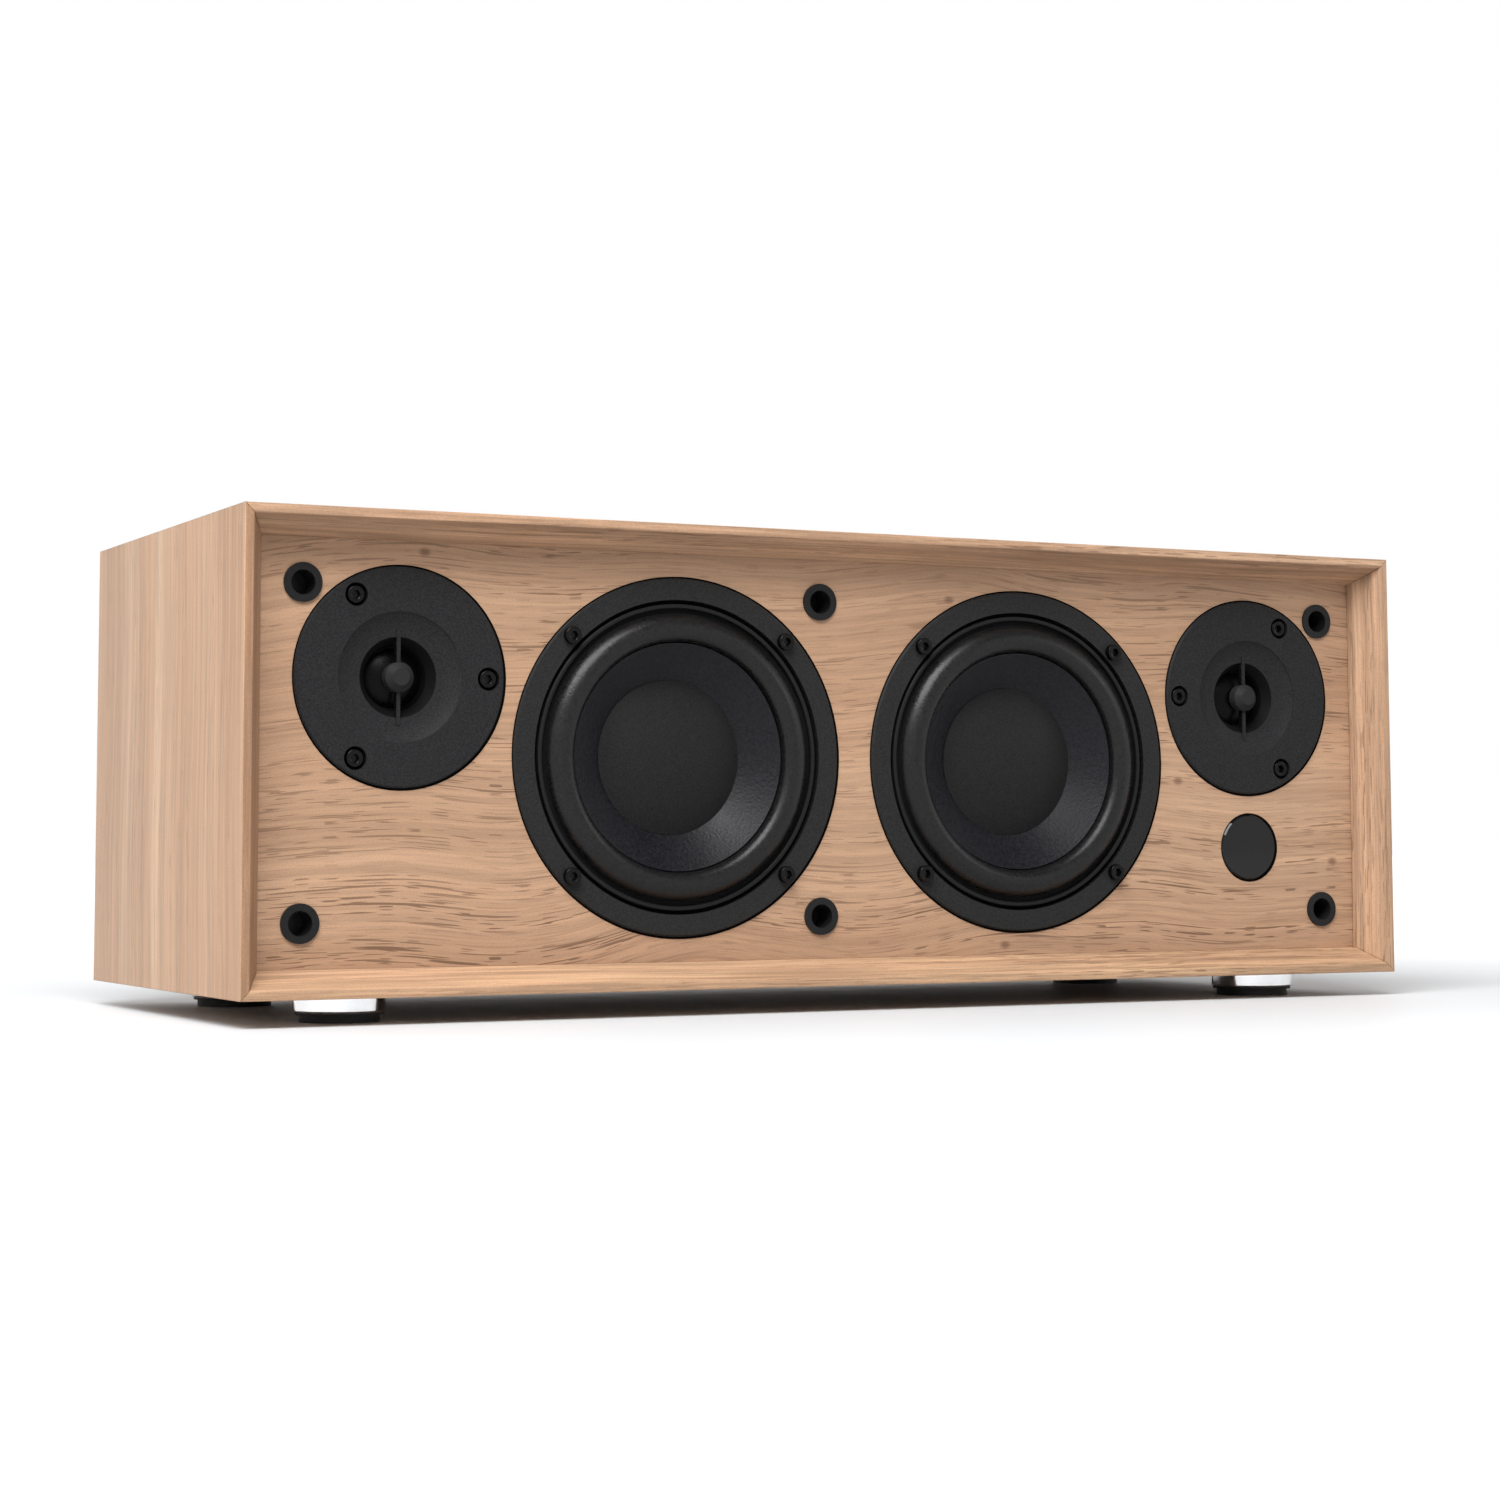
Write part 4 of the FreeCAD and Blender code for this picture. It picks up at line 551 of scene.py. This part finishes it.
# %% Paint the zones
SHADOW_TONE = 0.0012
THROAT_TONE = 0.0055
PLUG_TONE = 0.025
MATT = 0.95
THROAT_ROUGH = 0.6
PLUG_ROUGH = 0.4
ZONE_FRONT = 0.3
GROOVE_INNER = 46.9
GROOVE_OUTER = 51.35
THROAT_RADIUS = 12.8
DOME_RADIUS = 10.5
THROAT_FRONT = 2.7
PLUG_RADIUS = 4.8
PLUG_FRONT = -5.0
WELL_RADIUS = 3.75
TWEETER_SCREW_CIRCLE = 29.4
TWEETER_ANGLES = {"left": (0, 120, 240), "right": (60, 180, 300)}


def on_circle(radius, angle):
    """A step in metres from a driver's axis to a point on a circle round it, in mm and degrees."""
    turn = math.radians(angle)
    return Vector((math.cos(turn) * radius, 0.0, math.sin(turn) * radius)) * MM


tweeter_axis = tweeter_centres["right"]
groove_zone = (woofer_centres["right"], GROOVE_INNER, GROOVE_OUTER, ZONE_FRONT, SHADOW_TONE, MATT)
tweeter_zones = [
    (tweeter_axis, 0.0, THROAT_RADIUS, THROAT_FRONT, THROAT_TONE, THROAT_ROUGH),
    (tweeter_axis, 0.0, DOME_RADIUS, THROAT_FRONT, SHADOW_TONE, MATT),
    (tweeter_axis, 0.0, PLUG_RADIUS, PLUG_FRONT, PLUG_TONE, PLUG_ROUGH),
]
for angle in TWEETER_ANGLES["right"]:
    well = tweeter_axis + on_circle(TWEETER_SCREW_CIRCLE, angle)
    tweeter_zones.append((well, 0.0, WELL_RADIUS, ZONE_FRONT, SHADOW_TONE, MATT))
shade_zones(SATIN_BLACK, [groove_zone])
shade_zones(RUBBER, [groove_zone])
shade_zones(PLATE_BLACK, tweeter_zones)
print("zones on each tweeter plate:", len(tweeter_zones))

# %% [markdown]
# ## Dress the CAD nodes
# Most solids already have the right shape and need only a finish, so each node's material slot is filled from
# a list of names. The pieces of the two woofers and the two tweeters are alike, so their lists are written
# once and read for both sides.

# %% Finish of each node
NODE_FINISH = {
    "front_baffle": BAFFLE_OAK, "rear_panel": REAR_OAK, **BOARD_OAK,
    "woofer_screws": SCREW_BLACK, "tweeter_screws": SCREW_BLACK, "plate_screws": SCREW_BLACK,
    "grille_sockets": SOCKET_BLACK, "remote_window": LENS_BLACK, "receiver_board": CIRCUIT_GREEN,
    "foot_cups": CHROME, "foot_pads": FOOT_RUBBER, "foot_screws": STEEL,
    "connector_plate": REAR_PLASTIC, "amp_board": CIRCUIT_GREEN, "mains_inlet": REAR_PLASTIC,
    "line_in_jacks": REAR_PLASTIC, "power_transformer": CORE_STEEL, "filter_capacitors": CAN_SLEEVE,
}
WOOFER_FINISH = {
    "basket": SATIN_BLACK, "trim_ring": TRIM_BLACK, "surround": RUBBER, "cone": CONE, "dust_cap": CAP,
    "voice_coil": COPPER, "spider": SPIDER_CLOTH, "top_plate": STEEL, "magnet": FERRITE, "yoke": STEEL,
}
TWEETER_FINISH = {
    "faceplate": PLATE_BLACK, "dome": DOME_BLACK, "voice_coil": COPPER, "top_plate": STEEL,
    "magnet": FERRITE, "back_plate": STEEL,
}
for side in SIDES:
    NODE_FINISH.update({f"woofer_{side}_{piece}": material for piece, material in WOOFER_FINISH.items()})
    NODE_FINISH.update({f"tweeter_{side}_{piece}": material for piece, material in TWEETER_FINISH.items()})
for name, material in NODE_FINISH.items():
    nodes[name].data.materials.clear()
    nodes[name].data.materials.append(material)
print("nodes dressed:", len(NODE_FINISH), "of", len(nodes))

# %% [markdown]
# ## Outlines and pieces
# Some pieces deserve a finer shape than the solid: edges with a small round that catch the light, and rubber
# that can flex. A Bevel modifier could round the edges, but it treats all of them alike. Here each outline
# says which corner is rounded and how much: a short curve runs between two points on the corner's sides.
# Shading stays smooth up to an angle, and each new piece is hung on the body it rides on and hides the CAD nodes it
# stands for.

# %% Helpers for pieces
SMOOTH_ANGLE = math.radians(32)
CORNER_STEPS = 5


def rounded(corners):
    """Points of an outline whose corners (u, v, radius) are softened by a short curve."""
    points = []
    for i, (u, v, radius) in enumerate(corners):
        here = Vector((u, v))
        if radius == 0:
            points.append(here)
            continue
        before, after = (Vector(corners[k % len(corners)][:2]) for k in (i - 1, i + 1))
        start = here + (before - here).normalized() * radius
        end = here + (after - here).normalized() * radius
        for step in range(CORNER_STEPS + 1):
            t = step / CORNER_STEPS
            points.append(start.lerp(here, t).lerp(here.lerp(end, t), t))
    return points


def new_piece(name, vertices, faces, material, slot, body, stands_for=()):
    """Makes a mesh piece with a material, which rides on a body and may stand for CAD nodes; slot is not used."""
    mesh = bpy.data.meshes.new(name)
    mesh.from_pydata(vertices, [], faces)
    mesh.materials.append(material)
    work = bmesh.new()
    work.from_mesh(mesh)
    bmesh.ops.recalc_face_normals(work, faces=work.faces)
    work.to_mesh(mesh)
    work.free()
    mesh.shade_smooth()
    mesh.set_sharp_from_angle(angle=SMOOTH_ANGLE)
    piece = bpy.data.objects.new(name, mesh)
    bpy.context.scene.collection.objects.link(piece)
    if stands_for:
        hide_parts(*stands_for)
    if body:
        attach(piece, body)
    return piece


print("piece helpers ready")

# %% [markdown]
# ## Cabinet boards
# The box is four boards, mitred at 45 degrees. Each has a narrow flat at the front, then a bevel that leads
# in to the recessed baffle. The CAD boards have knife-sharp edges and closed joints. Real laminate edges have
# a tiny round, a mitre shows as a hairline, and so does the slot in front of the baffle, so each board is
# built again from its section with those three things added. A Bevel modifier would round the mitres too.

# %% Boards
LAND = 2.9
BEVEL_DEPTH = 10.8
BOARD = 8.5
RECESS = 13.3
BAFFLE_BACK = 25.3
REAR_FRONT = 148.0
REAR_BACK = 157.0
GROOVE = 2.5
SLOT = 0.35
ARRIS = 0.35
MITRE_GAP = 0.11
DEPTH = (cad_box[1].y - cad_box[0].y) / MM
GROOVE_FLOOR = BOARD - GROOVE
SLOT_FRONT = RECESS - SLOT
BOARD_SECTION = rounded([
    (0, 0, ARRIS), (DEPTH, 0, ARRIS), (DEPTH, BOARD, ARRIS),
    (REAR_BACK, BOARD, 0), (REAR_BACK, GROOVE_FLOOR, 0),
    (REAR_FRONT, GROOVE_FLOOR, 0), (REAR_FRONT, BOARD, 0),
    (BAFFLE_BACK, BOARD, 0), (BAFFLE_BACK, GROOVE_FLOOR, 0),
    (SLOT_FRONT, GROOVE_FLOOR, 0), (SLOT_FRONT, BOARD, ARRIS / 2),
    (BEVEL_DEPTH, BOARD, ARRIS), (0, LAND, ARRIS),
])


def board(node, length_mm, corner, turn):
    """One mitred board: its section drawn along X, turned about Y and moved to its corner of the box."""
    turn_matrix = Matrix.Translation(corner) @ Matrix.Rotation(math.radians(turn), 4, "Y")
    vertices = []
    for end in (-1, 1):
        for depth, inward in BOARD_SECTION:
            reach = end * (length_mm / 2 - inward - MITRE_GAP)
            vertices.append(turn_matrix @ (Vector((reach, depth, inward)) * MM))
    count = len(BOARD_SECTION)
    faces = [[i, (i + 1) % count, count + (i + 1) % count, count + i] for i in range(count)]
    faces += [list(range(count)), list(range(2 * count - 1, count - 1, -1))]
    return new_piece(node + "_board", vertices, faces, BOARD_OAK[node], "oak_laminate", "cabinet", (node,))


box_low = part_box("left_panel")[0]
box_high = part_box("right_panel")[1]
middle_z = (box_low.z + box_high.z) / 2
WIDTH = (box_high.x - box_low.x) / MM
HEIGHT = (box_high.z - box_low.z) / MM
board("top_panel", WIDTH, Vector((0, box_low.y, box_high.z)), turn=180)
board("bottom_panel", WIDTH, Vector((0, box_low.y, box_low.z)), turn=0)
board("left_panel", HEIGHT, Vector((box_low.x, box_low.y, middle_z)), turn=90)
board("right_panel", HEIGHT, Vector((box_high.x, box_low.y, middle_z)), turn=-90)
print("boards:", round(WIDTH, 1), "x", round(HEIGHT, 1), "mm, section points:", len(BOARD_SECTION))

# %% [markdown]
# ## Turned shapes
# The drivers are round, so the rest of the new pieces are profiles turned about an axis. A Screw modifier
# does this too, but a screw head also needs a six-sided hole, and the rubber needs weights by radius, so the
# rings of points are laid out in code. A ring on the axis is one point, and a marked ring becomes a hexagon.

# %% Helpers for turning
TURN_STEPS = 144


def six_sided(angle):
    """How far a hexagon with a corner radius of 1 reaches at an angle."""
    side = math.pi / 3
    return math.cos(side / 2) / math.cos(angle % side - side / 2)


def turned(profile, centre, steps=TURN_STEPS):
    """A closed profile of (radius, depth) in mm turned about Y; a third value makes a ring six-sided."""
    vertices, faces, rings = [], [], []
    for radius, depth, *six in profile:
        count = steps if radius > 0 else 1
        rings.append((len(vertices), count))
        for step in range(count):
            angle = 2 * math.pi * step / steps
            reach = radius * (six_sided(angle) if six else 1.0)
            vertices.append(centre + Vector((reach * math.cos(angle), depth, reach * math.sin(angle))) * MM)
    for i, (start, count) in enumerate(rings):
        after, after_count = rings[(i + 1) % len(rings)]
        for step in range(steps):
            turn = (step + 1) % steps
            ring_edge = [start + step % count, start + turn % count]
            next_edge = [after + turn % after_count, after + step % after_count]
            corners = list(dict.fromkeys(ring_edge + next_edge))
            if len(corners) > 2:
                faces.append(corners)
    return vertices, faces


print("turning helpers ready")

# %% [markdown]
# ## Profiles of the woofer
# A woofer's moving parts are thin skins: a half-roll of rubber, a spherical cap, and behind the cone a
# corrugated cloth, the spider, which centres the voice coil. Each is drawn as one line from its outer edge
# inwards, and the line is then given a thickness. The sizes are those of the CAD solids, in millimetres.

# %% Profiles
LINE_STEPS = 28
SPIDER_OUTER = 36.0
SPIDER_SEAT = 33.0
SPIDER_INNER = 13.4
SPIDER_DEPTH = 20.9
SPIDER_RISE = 1.2
SPIDER_WAVES = 6
STEPS_PER_WAVE = 6


def roll_line(outer, inner, outer_depth, inner_depth, rise):
    """A half-roll from the outer foot to the inner foot."""
    line = []
    for step in range(LINE_STEPS + 1):
        angle = math.pi * step / LINE_STEPS
        share = (1 - math.cos(angle)) / 2
        depth = outer_depth + (inner_depth - outer_depth) * share - rise * math.sin(angle)
        line.append((outer + (inner - outer) * share, depth))
    return line


def dome_line(radius, rim, rise):
    """A spherical cap from its rim to its crown on the axis."""
    sphere = (radius**2 + rise**2) / (2 * rise)
    half = math.asin(radius / sphere)
    angles = [half * (1 - step / LINE_STEPS) for step in range(LINE_STEPS + 1)]
    line = [(sphere * math.sin(a), rim - rise + sphere * (1 - math.cos(a))) for a in angles]
    return line[:-1] + [(0.0, rim - rise)]


def spider_line():
    """The corrugated front line of the spider, from its seat in to the voice coil."""
    steps = SPIDER_WAVES * STEPS_PER_WAVE
    line = [(SPIDER_OUTER, SPIDER_DEPTH)]
    for step in range(steps + 1):
        share = step / steps
        fade = math.sqrt(math.sin(math.pi * share))
        lift = SPIDER_RISE * fade * (1 - math.cos(2 * math.pi * SPIDER_WAVES * share)) / 2
        line.append((SPIDER_SEAT + (SPIDER_INNER - SPIDER_SEAT) * share, SPIDER_DEPTH - lift))
    return line


def thick(line, wall):
    """Closes a front line into a profile with its back a wall's thickness behind it."""
    return line + [(radius, depth + wall) for radius, depth in reversed(line)]


print("points of the spider's line:", len(spider_line()))

# %% [markdown]
# ## Woofer cone, cap, ring and surround
# The cone slides in and out and the rubber surround flexes between it and the basket. The surround must
# follow two bodies at once: its lip stays with the basket and its inner foot goes with the cone. A blend
# between two bodies runs along a straight line, and here it has to run inwards from the rim, so the piece is
# declared as a blend and its weights are then set by radius. The spider flexes in the same way.

# %% Woofer pieces
RING_OUTER = 50.0
RING_INNER = 48.5
RING_FRONT = 0.3
RING_BACK = 2.0
RING_ROUND = (0.5, 0.6)
ROLL_OUTER = 47.0
ROLL_INNER = 37.6
ROLL_RISE = 4.2
SKIN = 0.6
CONE_EDGE = 37.3
CONE_NECK = 13.4
CONE_FRONT = 0.6
CONE_DEPTH = 17.0
CONE_WALL = 1.0
CONE_ROUND = 0.3
CAP_RADIUS = 25.4
CAP_RIM = 8.9
CAP_RISE = 5.0
CAP_WALL = 0.7
NECK_DEPTH = CONE_FRONT + CONE_DEPTH
RING = rounded([(RING_OUTER, RING_FRONT, RING_ROUND[0]), (RING_INNER, RING_FRONT, RING_ROUND[1]),
                (RING_INNER, RING_BACK, 0), (RING_OUTER, RING_BACK, 0)])
ROLL = [(RING_OUTER, RING_BACK), (RING_INNER, RING_BACK)]
ROLL += roll_line(ROLL_OUTER, ROLL_INNER, RING_BACK, CONE_FRONT, ROLL_RISE)
CONE_SKIN = rounded([(CONE_EDGE, CONE_FRONT, CONE_ROUND), (CONE_EDGE, CONE_FRONT + CONE_WALL, 0),
                     (CONE_NECK, NECK_DEPTH + CONE_WALL, 0), (CONE_NECK, NECK_DEPTH, 0)])
CAP_INSIDE = dome_line(CAP_RADIUS - CAP_WALL, CAP_RIM, CAP_RISE - CAP_WALL)
CAP_SKIN = dome_line(CAP_RADIUS, CAP_RIM, CAP_RISE) + CAP_INSIDE[::-1]


def flex(piece, body, centre, outer, inner):
    """Blends a turned piece from the cabinet at its outer radius to a moving body at its inner radius."""
    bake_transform(piece, "cabinet", body, centre + Vector((outer, 0, 0)) * MM, centre + Vector((inner, 0, 0)) * MM)
    weights = piece.data.attributes["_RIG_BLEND"].data
    for vertex, weight in zip(piece.data.vertices, weights):
        offset = vertex.co - centre
        share = (outer - math.hypot(offset.x, offset.z) / MM) / (outer - inner)
        share = min(max(share, 0.0), 1.0)
        weight.value = share * share * (3 - 2 * share)


for side in SIDES:
    woofer = f"woofer_{side}"
    moving = f"{woofer}_diaphragm"
    centre = woofer_centres[side]
    new_piece(f"{woofer}_ring", *turned(RING, centre), TRIM_BLACK, "black_trim", "cabinet",
              (f"{woofer}_trim_ring",))
    surround = new_piece(f"{woofer}_roll", *turned(thick(ROLL, SKIN), centre), RUBBER, "black_rubber", None,
                         (f"{woofer}_surround",))
    flex(surround, moving, centre, ROLL_OUTER, ROLL_INNER)
    spider = new_piece(f"{woofer}_spider_cloth", *turned(thick(spider_line(), SKIN), centre), SPIDER_CLOTH,
                       "spider_cloth", None, (f"{woofer}_spider",))
    flex(spider, moving, centre, SPIDER_SEAT, SPIDER_INNER)
    new_piece(f"{woofer}_cone_skin", *turned(CONE_SKIN, centre), CONE, "woven_cone", moving,
              (f"{woofer}_cone",))
    new_piece(f"{woofer}_cap_skin", *turned(CAP_SKIN, centre), CAP, "cap_paper", moving,
              (f"{woofer}_dust_cap",))
    print("woofer", side, "centre in mm:", [round(value / MM, 1) for value in centre])

# %% [markdown]
# ## Driver screws
# The drivers are held by black socket-head screws, four in each woofer flange and three sunk in each tweeter
# plate. A head is a turned shape with a six-sided hole, so the same turning helper makes it, with two of its
# rings bent to a hexagon. All screws of one kind are one piece, as they are one node in the CAD model.

# %% Screws
HEAD_RADIUS = 2.8
HEAD_ROUND = 0.45
HEX_CORNER = 1.5
HEX_DEPTH = 1.6
HEX_SINK = 0.2
HEX_RIM = 0.25
SHANK_RADIUS = 1.6
SCREW_TIP = 0.8
SCREW_STEPS = 48
WOOFER_SCREWS = {"circle": 54.5, "seat": 0.0, "head": 2.2, "shank": 11.0}
TWEETER_SCREWS = {"circle": TWEETER_SCREW_CIRCLE, "seat": 2.2, "head": 1.9, "shank": 8.5}
WOOFER_ANGLES = {side: (45, 135, 225, 315) for side in SIDES}


def screw_profile(head, shank):
    """From the bottom of the hexagon hole, over the head, to the tip."""
    bottom, mouth = HEX_DEPTH - head, HEX_SINK - head
    hole = [(0.0, bottom), (HEX_CORNER, bottom, True), (HEX_CORNER, mouth, True)]
    rim = HEX_CORNER + HEX_RIM
    outside = rounded([(rim, -head, 0), (HEAD_RADIUS, -head, HEAD_ROUND), (HEAD_RADIUS, 0, 0)])
    tip = [(SHANK_RADIUS, 0.0), (SHANK_RADIUS, shank - SCREW_TIP), (SHANK_RADIUS / 2, shank), (0.0, shank)]
    return hole + [tuple(point) for point in outside] + tip


def screw_set(name, node, centres, kind, angles):
    """All screws of one kind as one piece."""
    vertices, faces = [], []
    profile = screw_profile(kind["head"], kind["shank"])
    seat = Vector((0.0, kind["seat"], 0.0)) * MM
    for side in SIDES:
        for angle in angles[side]:
            place_of_screw = centres[side] + on_circle(kind["circle"], angle) + seat
            points, loops = turned(profile, place_of_screw, SCREW_STEPS)
            faces += [[corner + len(vertices) for corner in loop] for loop in loops]
            vertices += points
    return new_piece(name, vertices, faces, SCREW_BLACK, "black_screw", "cabinet", (node,))


screw_set("woofer_screw_heads", "woofer_screws", woofer_centres, WOOFER_SCREWS, WOOFER_ANGLES)
screw_set("tweeter_screw_heads", "tweeter_screws", tweeter_centres, TWEETER_SCREWS, TWEETER_ANGLES)
print("screws:", sum(len(angles[side]) for angles in (WOOFER_ANGLES, TWEETER_ANGLES) for side in SIDES))

# %% [markdown]
# ## Painted gap shadows
# A thin black ring lies in the gap round each flange. Only its lip shows, as the black line between flange
# and wood: painted shade for the dark gap and its shadow, shifted to be a little wider on the right. The
# remote window has the same line round it. A dark stripe in the wood's material could draw it too, but it
# would stay behind if a driver were moved.

# %% Painted gap shadows
WOOFER_RADIUS = 58.4
TWEETER_RADIUS = 34.7
FLANGE_PROUD = 1.0
WINDOW_RADIUS = 11.6
WINDOW_PROUD = 0.6
SHADOW_RING_FIT = 0.02
SHADOW_RING_ROOM = 0.3
SHADOW_RING_EDGE = 0.68
SHADOW_RING_LIFT = (0.12, 0.08)
SHADOW_RING_SINK = 1.0
SHADOW_RING_SHIFT = Vector((0.3, 0.0, -0.1)) * MM
SHIFT_BEYOND = (SHADOW_RING_ROOM + SHADOW_RING_EDGE) / 2

edges = {"remote_window": (front_centre("remote_window"), WINDOW_RADIUS, WINDOW_PROUD)}
for side in SIDES:
    edges[f"woofer_{side}"] = (woofer_centres[side], WOOFER_RADIUS, FLANGE_PROUD)
    edges[f"tweeter_{side}"] = (tweeter_centres[side], TWEETER_RADIUS, FLANGE_PROUD)
for name, (centre, radius, wood) in edges.items():
    inner, room, outer = radius + SHADOW_RING_FIT, radius + SHADOW_RING_ROOM, radius + SHADOW_RING_EDGE
    lip = [(inner, wood - SHADOW_RING_LIFT[0]), (outer, wood - SHADOW_RING_LIFT[1]), (outer, wood)]
    root = [(room, wood), (room, wood + SHADOW_RING_SINK), (inner, wood + SHADOW_RING_SINK)]
    points, loops = turned(lip + root, centre)
    # Shifts the outer lip right and down, where the painted shadow falls wider.
    for point in points:
        if math.hypot(point.x - centre.x, point.z - centre.z) > (radius + SHIFT_BEYOND) * MM:
            point += SHADOW_RING_SHIFT
    new_piece(f"{name}_gap_shadow_ring", points, loops, GAP_SHADOW_BLACK, "black_rubber", "cabinet")
print("gap_shadow_rings:", len(edges))

# %% [markdown]
# ## Studio floor
# The speaker stands on a white table. The floor is one large sheet. To keep the object's light plain while
# the table still comes out white, the floor is brighter for the rays that show it: those of the camera, those
# in a reflection and those through glass. All other rays meet a grey floor. Near the speaker it is a lit
# white, so that the shadow stays, and further out it turns slowly into pure white.

# %% Floor
FLOOR_HALF = 12.0
FLOOR_TONE = (0.54, 0.54, 0.54)
FLOOR_SEEN = (0.78, 0.8, 0.82)
FLOOR_ROUGHNESS = 0.5
FLOOR_GLOSS = 0.3
FLOOR_NEAR = 0.04
FLOOR_FAR = 0.45
BLACK = (0.0, 0.0, 0.0)


def seen_rays(tree):
    """1 for rays that show the background: to the camera, in a reflection or through glass."""
    rays = add(tree, "ShaderNodeLightPath").outputs
    mirrored = maths(tree, "MAXIMUM", rays["Is Glossy Ray"], rays["Is Transmission Ray"])
    return maths(tree, "MAXIMUM", rays["Is Camera Ray"], mirrored)


floor_mesh = bpy.data.meshes.new("studio_floor")
corners = [(-FLOOR_HALF, -FLOOR_HALF, 0), (FLOOR_HALF, -FLOOR_HALF, 0), (FLOOR_HALF, FLOOR_HALF, 0),
           (-FLOOR_HALF, FLOOR_HALF, 0)]
floor_mesh.from_pydata(corners, [], [(0, 1, 2, 3)])
floor = bpy.data.objects.new("studio_floor", floor_mesh)
bpy.context.scene.collection.objects.link(floor)
floor_paint, tree, shader = finish("floor_white", FLOOR_TONE, FLOOR_ROUGHNESS)
seen = seen_rays(tree)
one_quarter = vectors(tree, "ABSOLUTE", object_place(tree))
outside = vectors(tree, "SUBTRACT", one_quarter, (cad_box[1].x, cad_box[1].y, 0.0))
distance = length_of(tree, vectors(tree, "MAXIMUM", outside))
glow = maths(tree, "MULTIPLY", level_to(tree, distance, FLOOR_NEAR, FLOOR_FAR), seen)
near_tone = blend_colours(tree, seen, FLOOR_TONE, FLOOR_SEEN)
tree.links.new(blend_colours(tree, glow, near_tone, BLACK), shader.inputs["Base Color"])
tree.links.new(glow, shader.inputs["Emission Strength"])
shader.inputs["Emission Color"].default_value = (1.0, 1.0, 1.0, 1.0)
shader.inputs["Specular IOR Level"].default_value = FLOOR_GLOSS
floor_mesh.materials.append(floor_paint)
print("floor in metres:", FLOOR_HALF * 2)

# %% [markdown]
# ## The room
# The world is a white studio for the same three kinds of ray, with a dimmer ceiling for the reflections in
# the black parts. For all other rays it is a plain room: dim in front of the speaker and lighter behind it.
# A sky texture or a studio picture would add its own shapes to every gloss, so two soft ramps are enough.

# %% World
ROOM_FRONT = 0.15
ROOM_BACK = 0.8
ROOM_RANGE = (-0.3, 0.6)
WALL = 1.0
CEILING = 0.25
CEILING_RANGE = (0.4, 0.7)
MIX_NUMBERS = (2, 3)

world = bpy.data.worlds.new("white_studio")
bpy.context.scene.world = world
world.use_nodes = True
tree = world.node_tree
sky = tree.nodes["Background"]
sky.inputs["Color"].default_value = (1, 1, 1, 1)
direction = add(tree, "ShaderNodeTexCoord").outputs["Generated"]
room = level_to(tree, along_axis(tree, direction, "Y"), *ROOM_RANGE, ROOM_FRONT, ROOM_BACK)
backdrop = level_to(tree, along_axis(tree, direction, "Z"), *CEILING_RANGE, WALL, CEILING)
inputs = {"Factor": seen_rays(tree), MIX_NUMBERS[0]: room, MIX_NUMBERS[1]: backdrop}
strength = add(tree, "ShaderNodeMix", inputs).outputs[0]
tree.links.new(strength, sky.inputs["Strength"])
print("world:", world.name)

# %% [markdown]
# ## The lamps
# A large soft lamp high on the left does the modelling, and the top board throws its soft shadow on the
# baffle. A broad weak one further left lights the side, and a small weak one on the right puts a glint on
# rims and rolls. The colours are shown as they are: the Standard view changes none of them.

# %% Lamps
AIM = (0, 0, 80)
SIDE_AIM = (-200, 0, 80)
LAMPS = {
    "key_softbox": ((-680, -900, 1360), AIM, (1200, 1000), 41),
    "right_softbox": ((1100, -840, 480), AIM, (300, 300), 0.8),
    "side_softbox": ((-1500, -150, 550), SIDE_AIM, (900, 1100), 2),
}


def lamp(name, place_mm, aim_mm, size_mm, watts):
    """A rectangular softbox aimed at a point."""
    light = bpy.data.lights.new(name, "AREA")
    light.shape = "RECTANGLE"
    light.size = size_mm[0] * MM
    light.size_y = size_mm[1] * MM
    light.energy = watts
    softbox = bpy.data.objects.new(name, light)
    softbox.location = Vector(place_mm) * MM
    softbox.rotation_euler = (Vector(aim_mm) - Vector(place_mm)).to_track_quat("-Z", "Y").to_euler()
    bpy.context.scene.collection.objects.link(softbox)


for name, settings in LAMPS.items():
    lamp(name, *settings)
scene = bpy.context.scene
scene.view_settings.view_transform = "Standard"
print("lamps:", list(LAMPS))
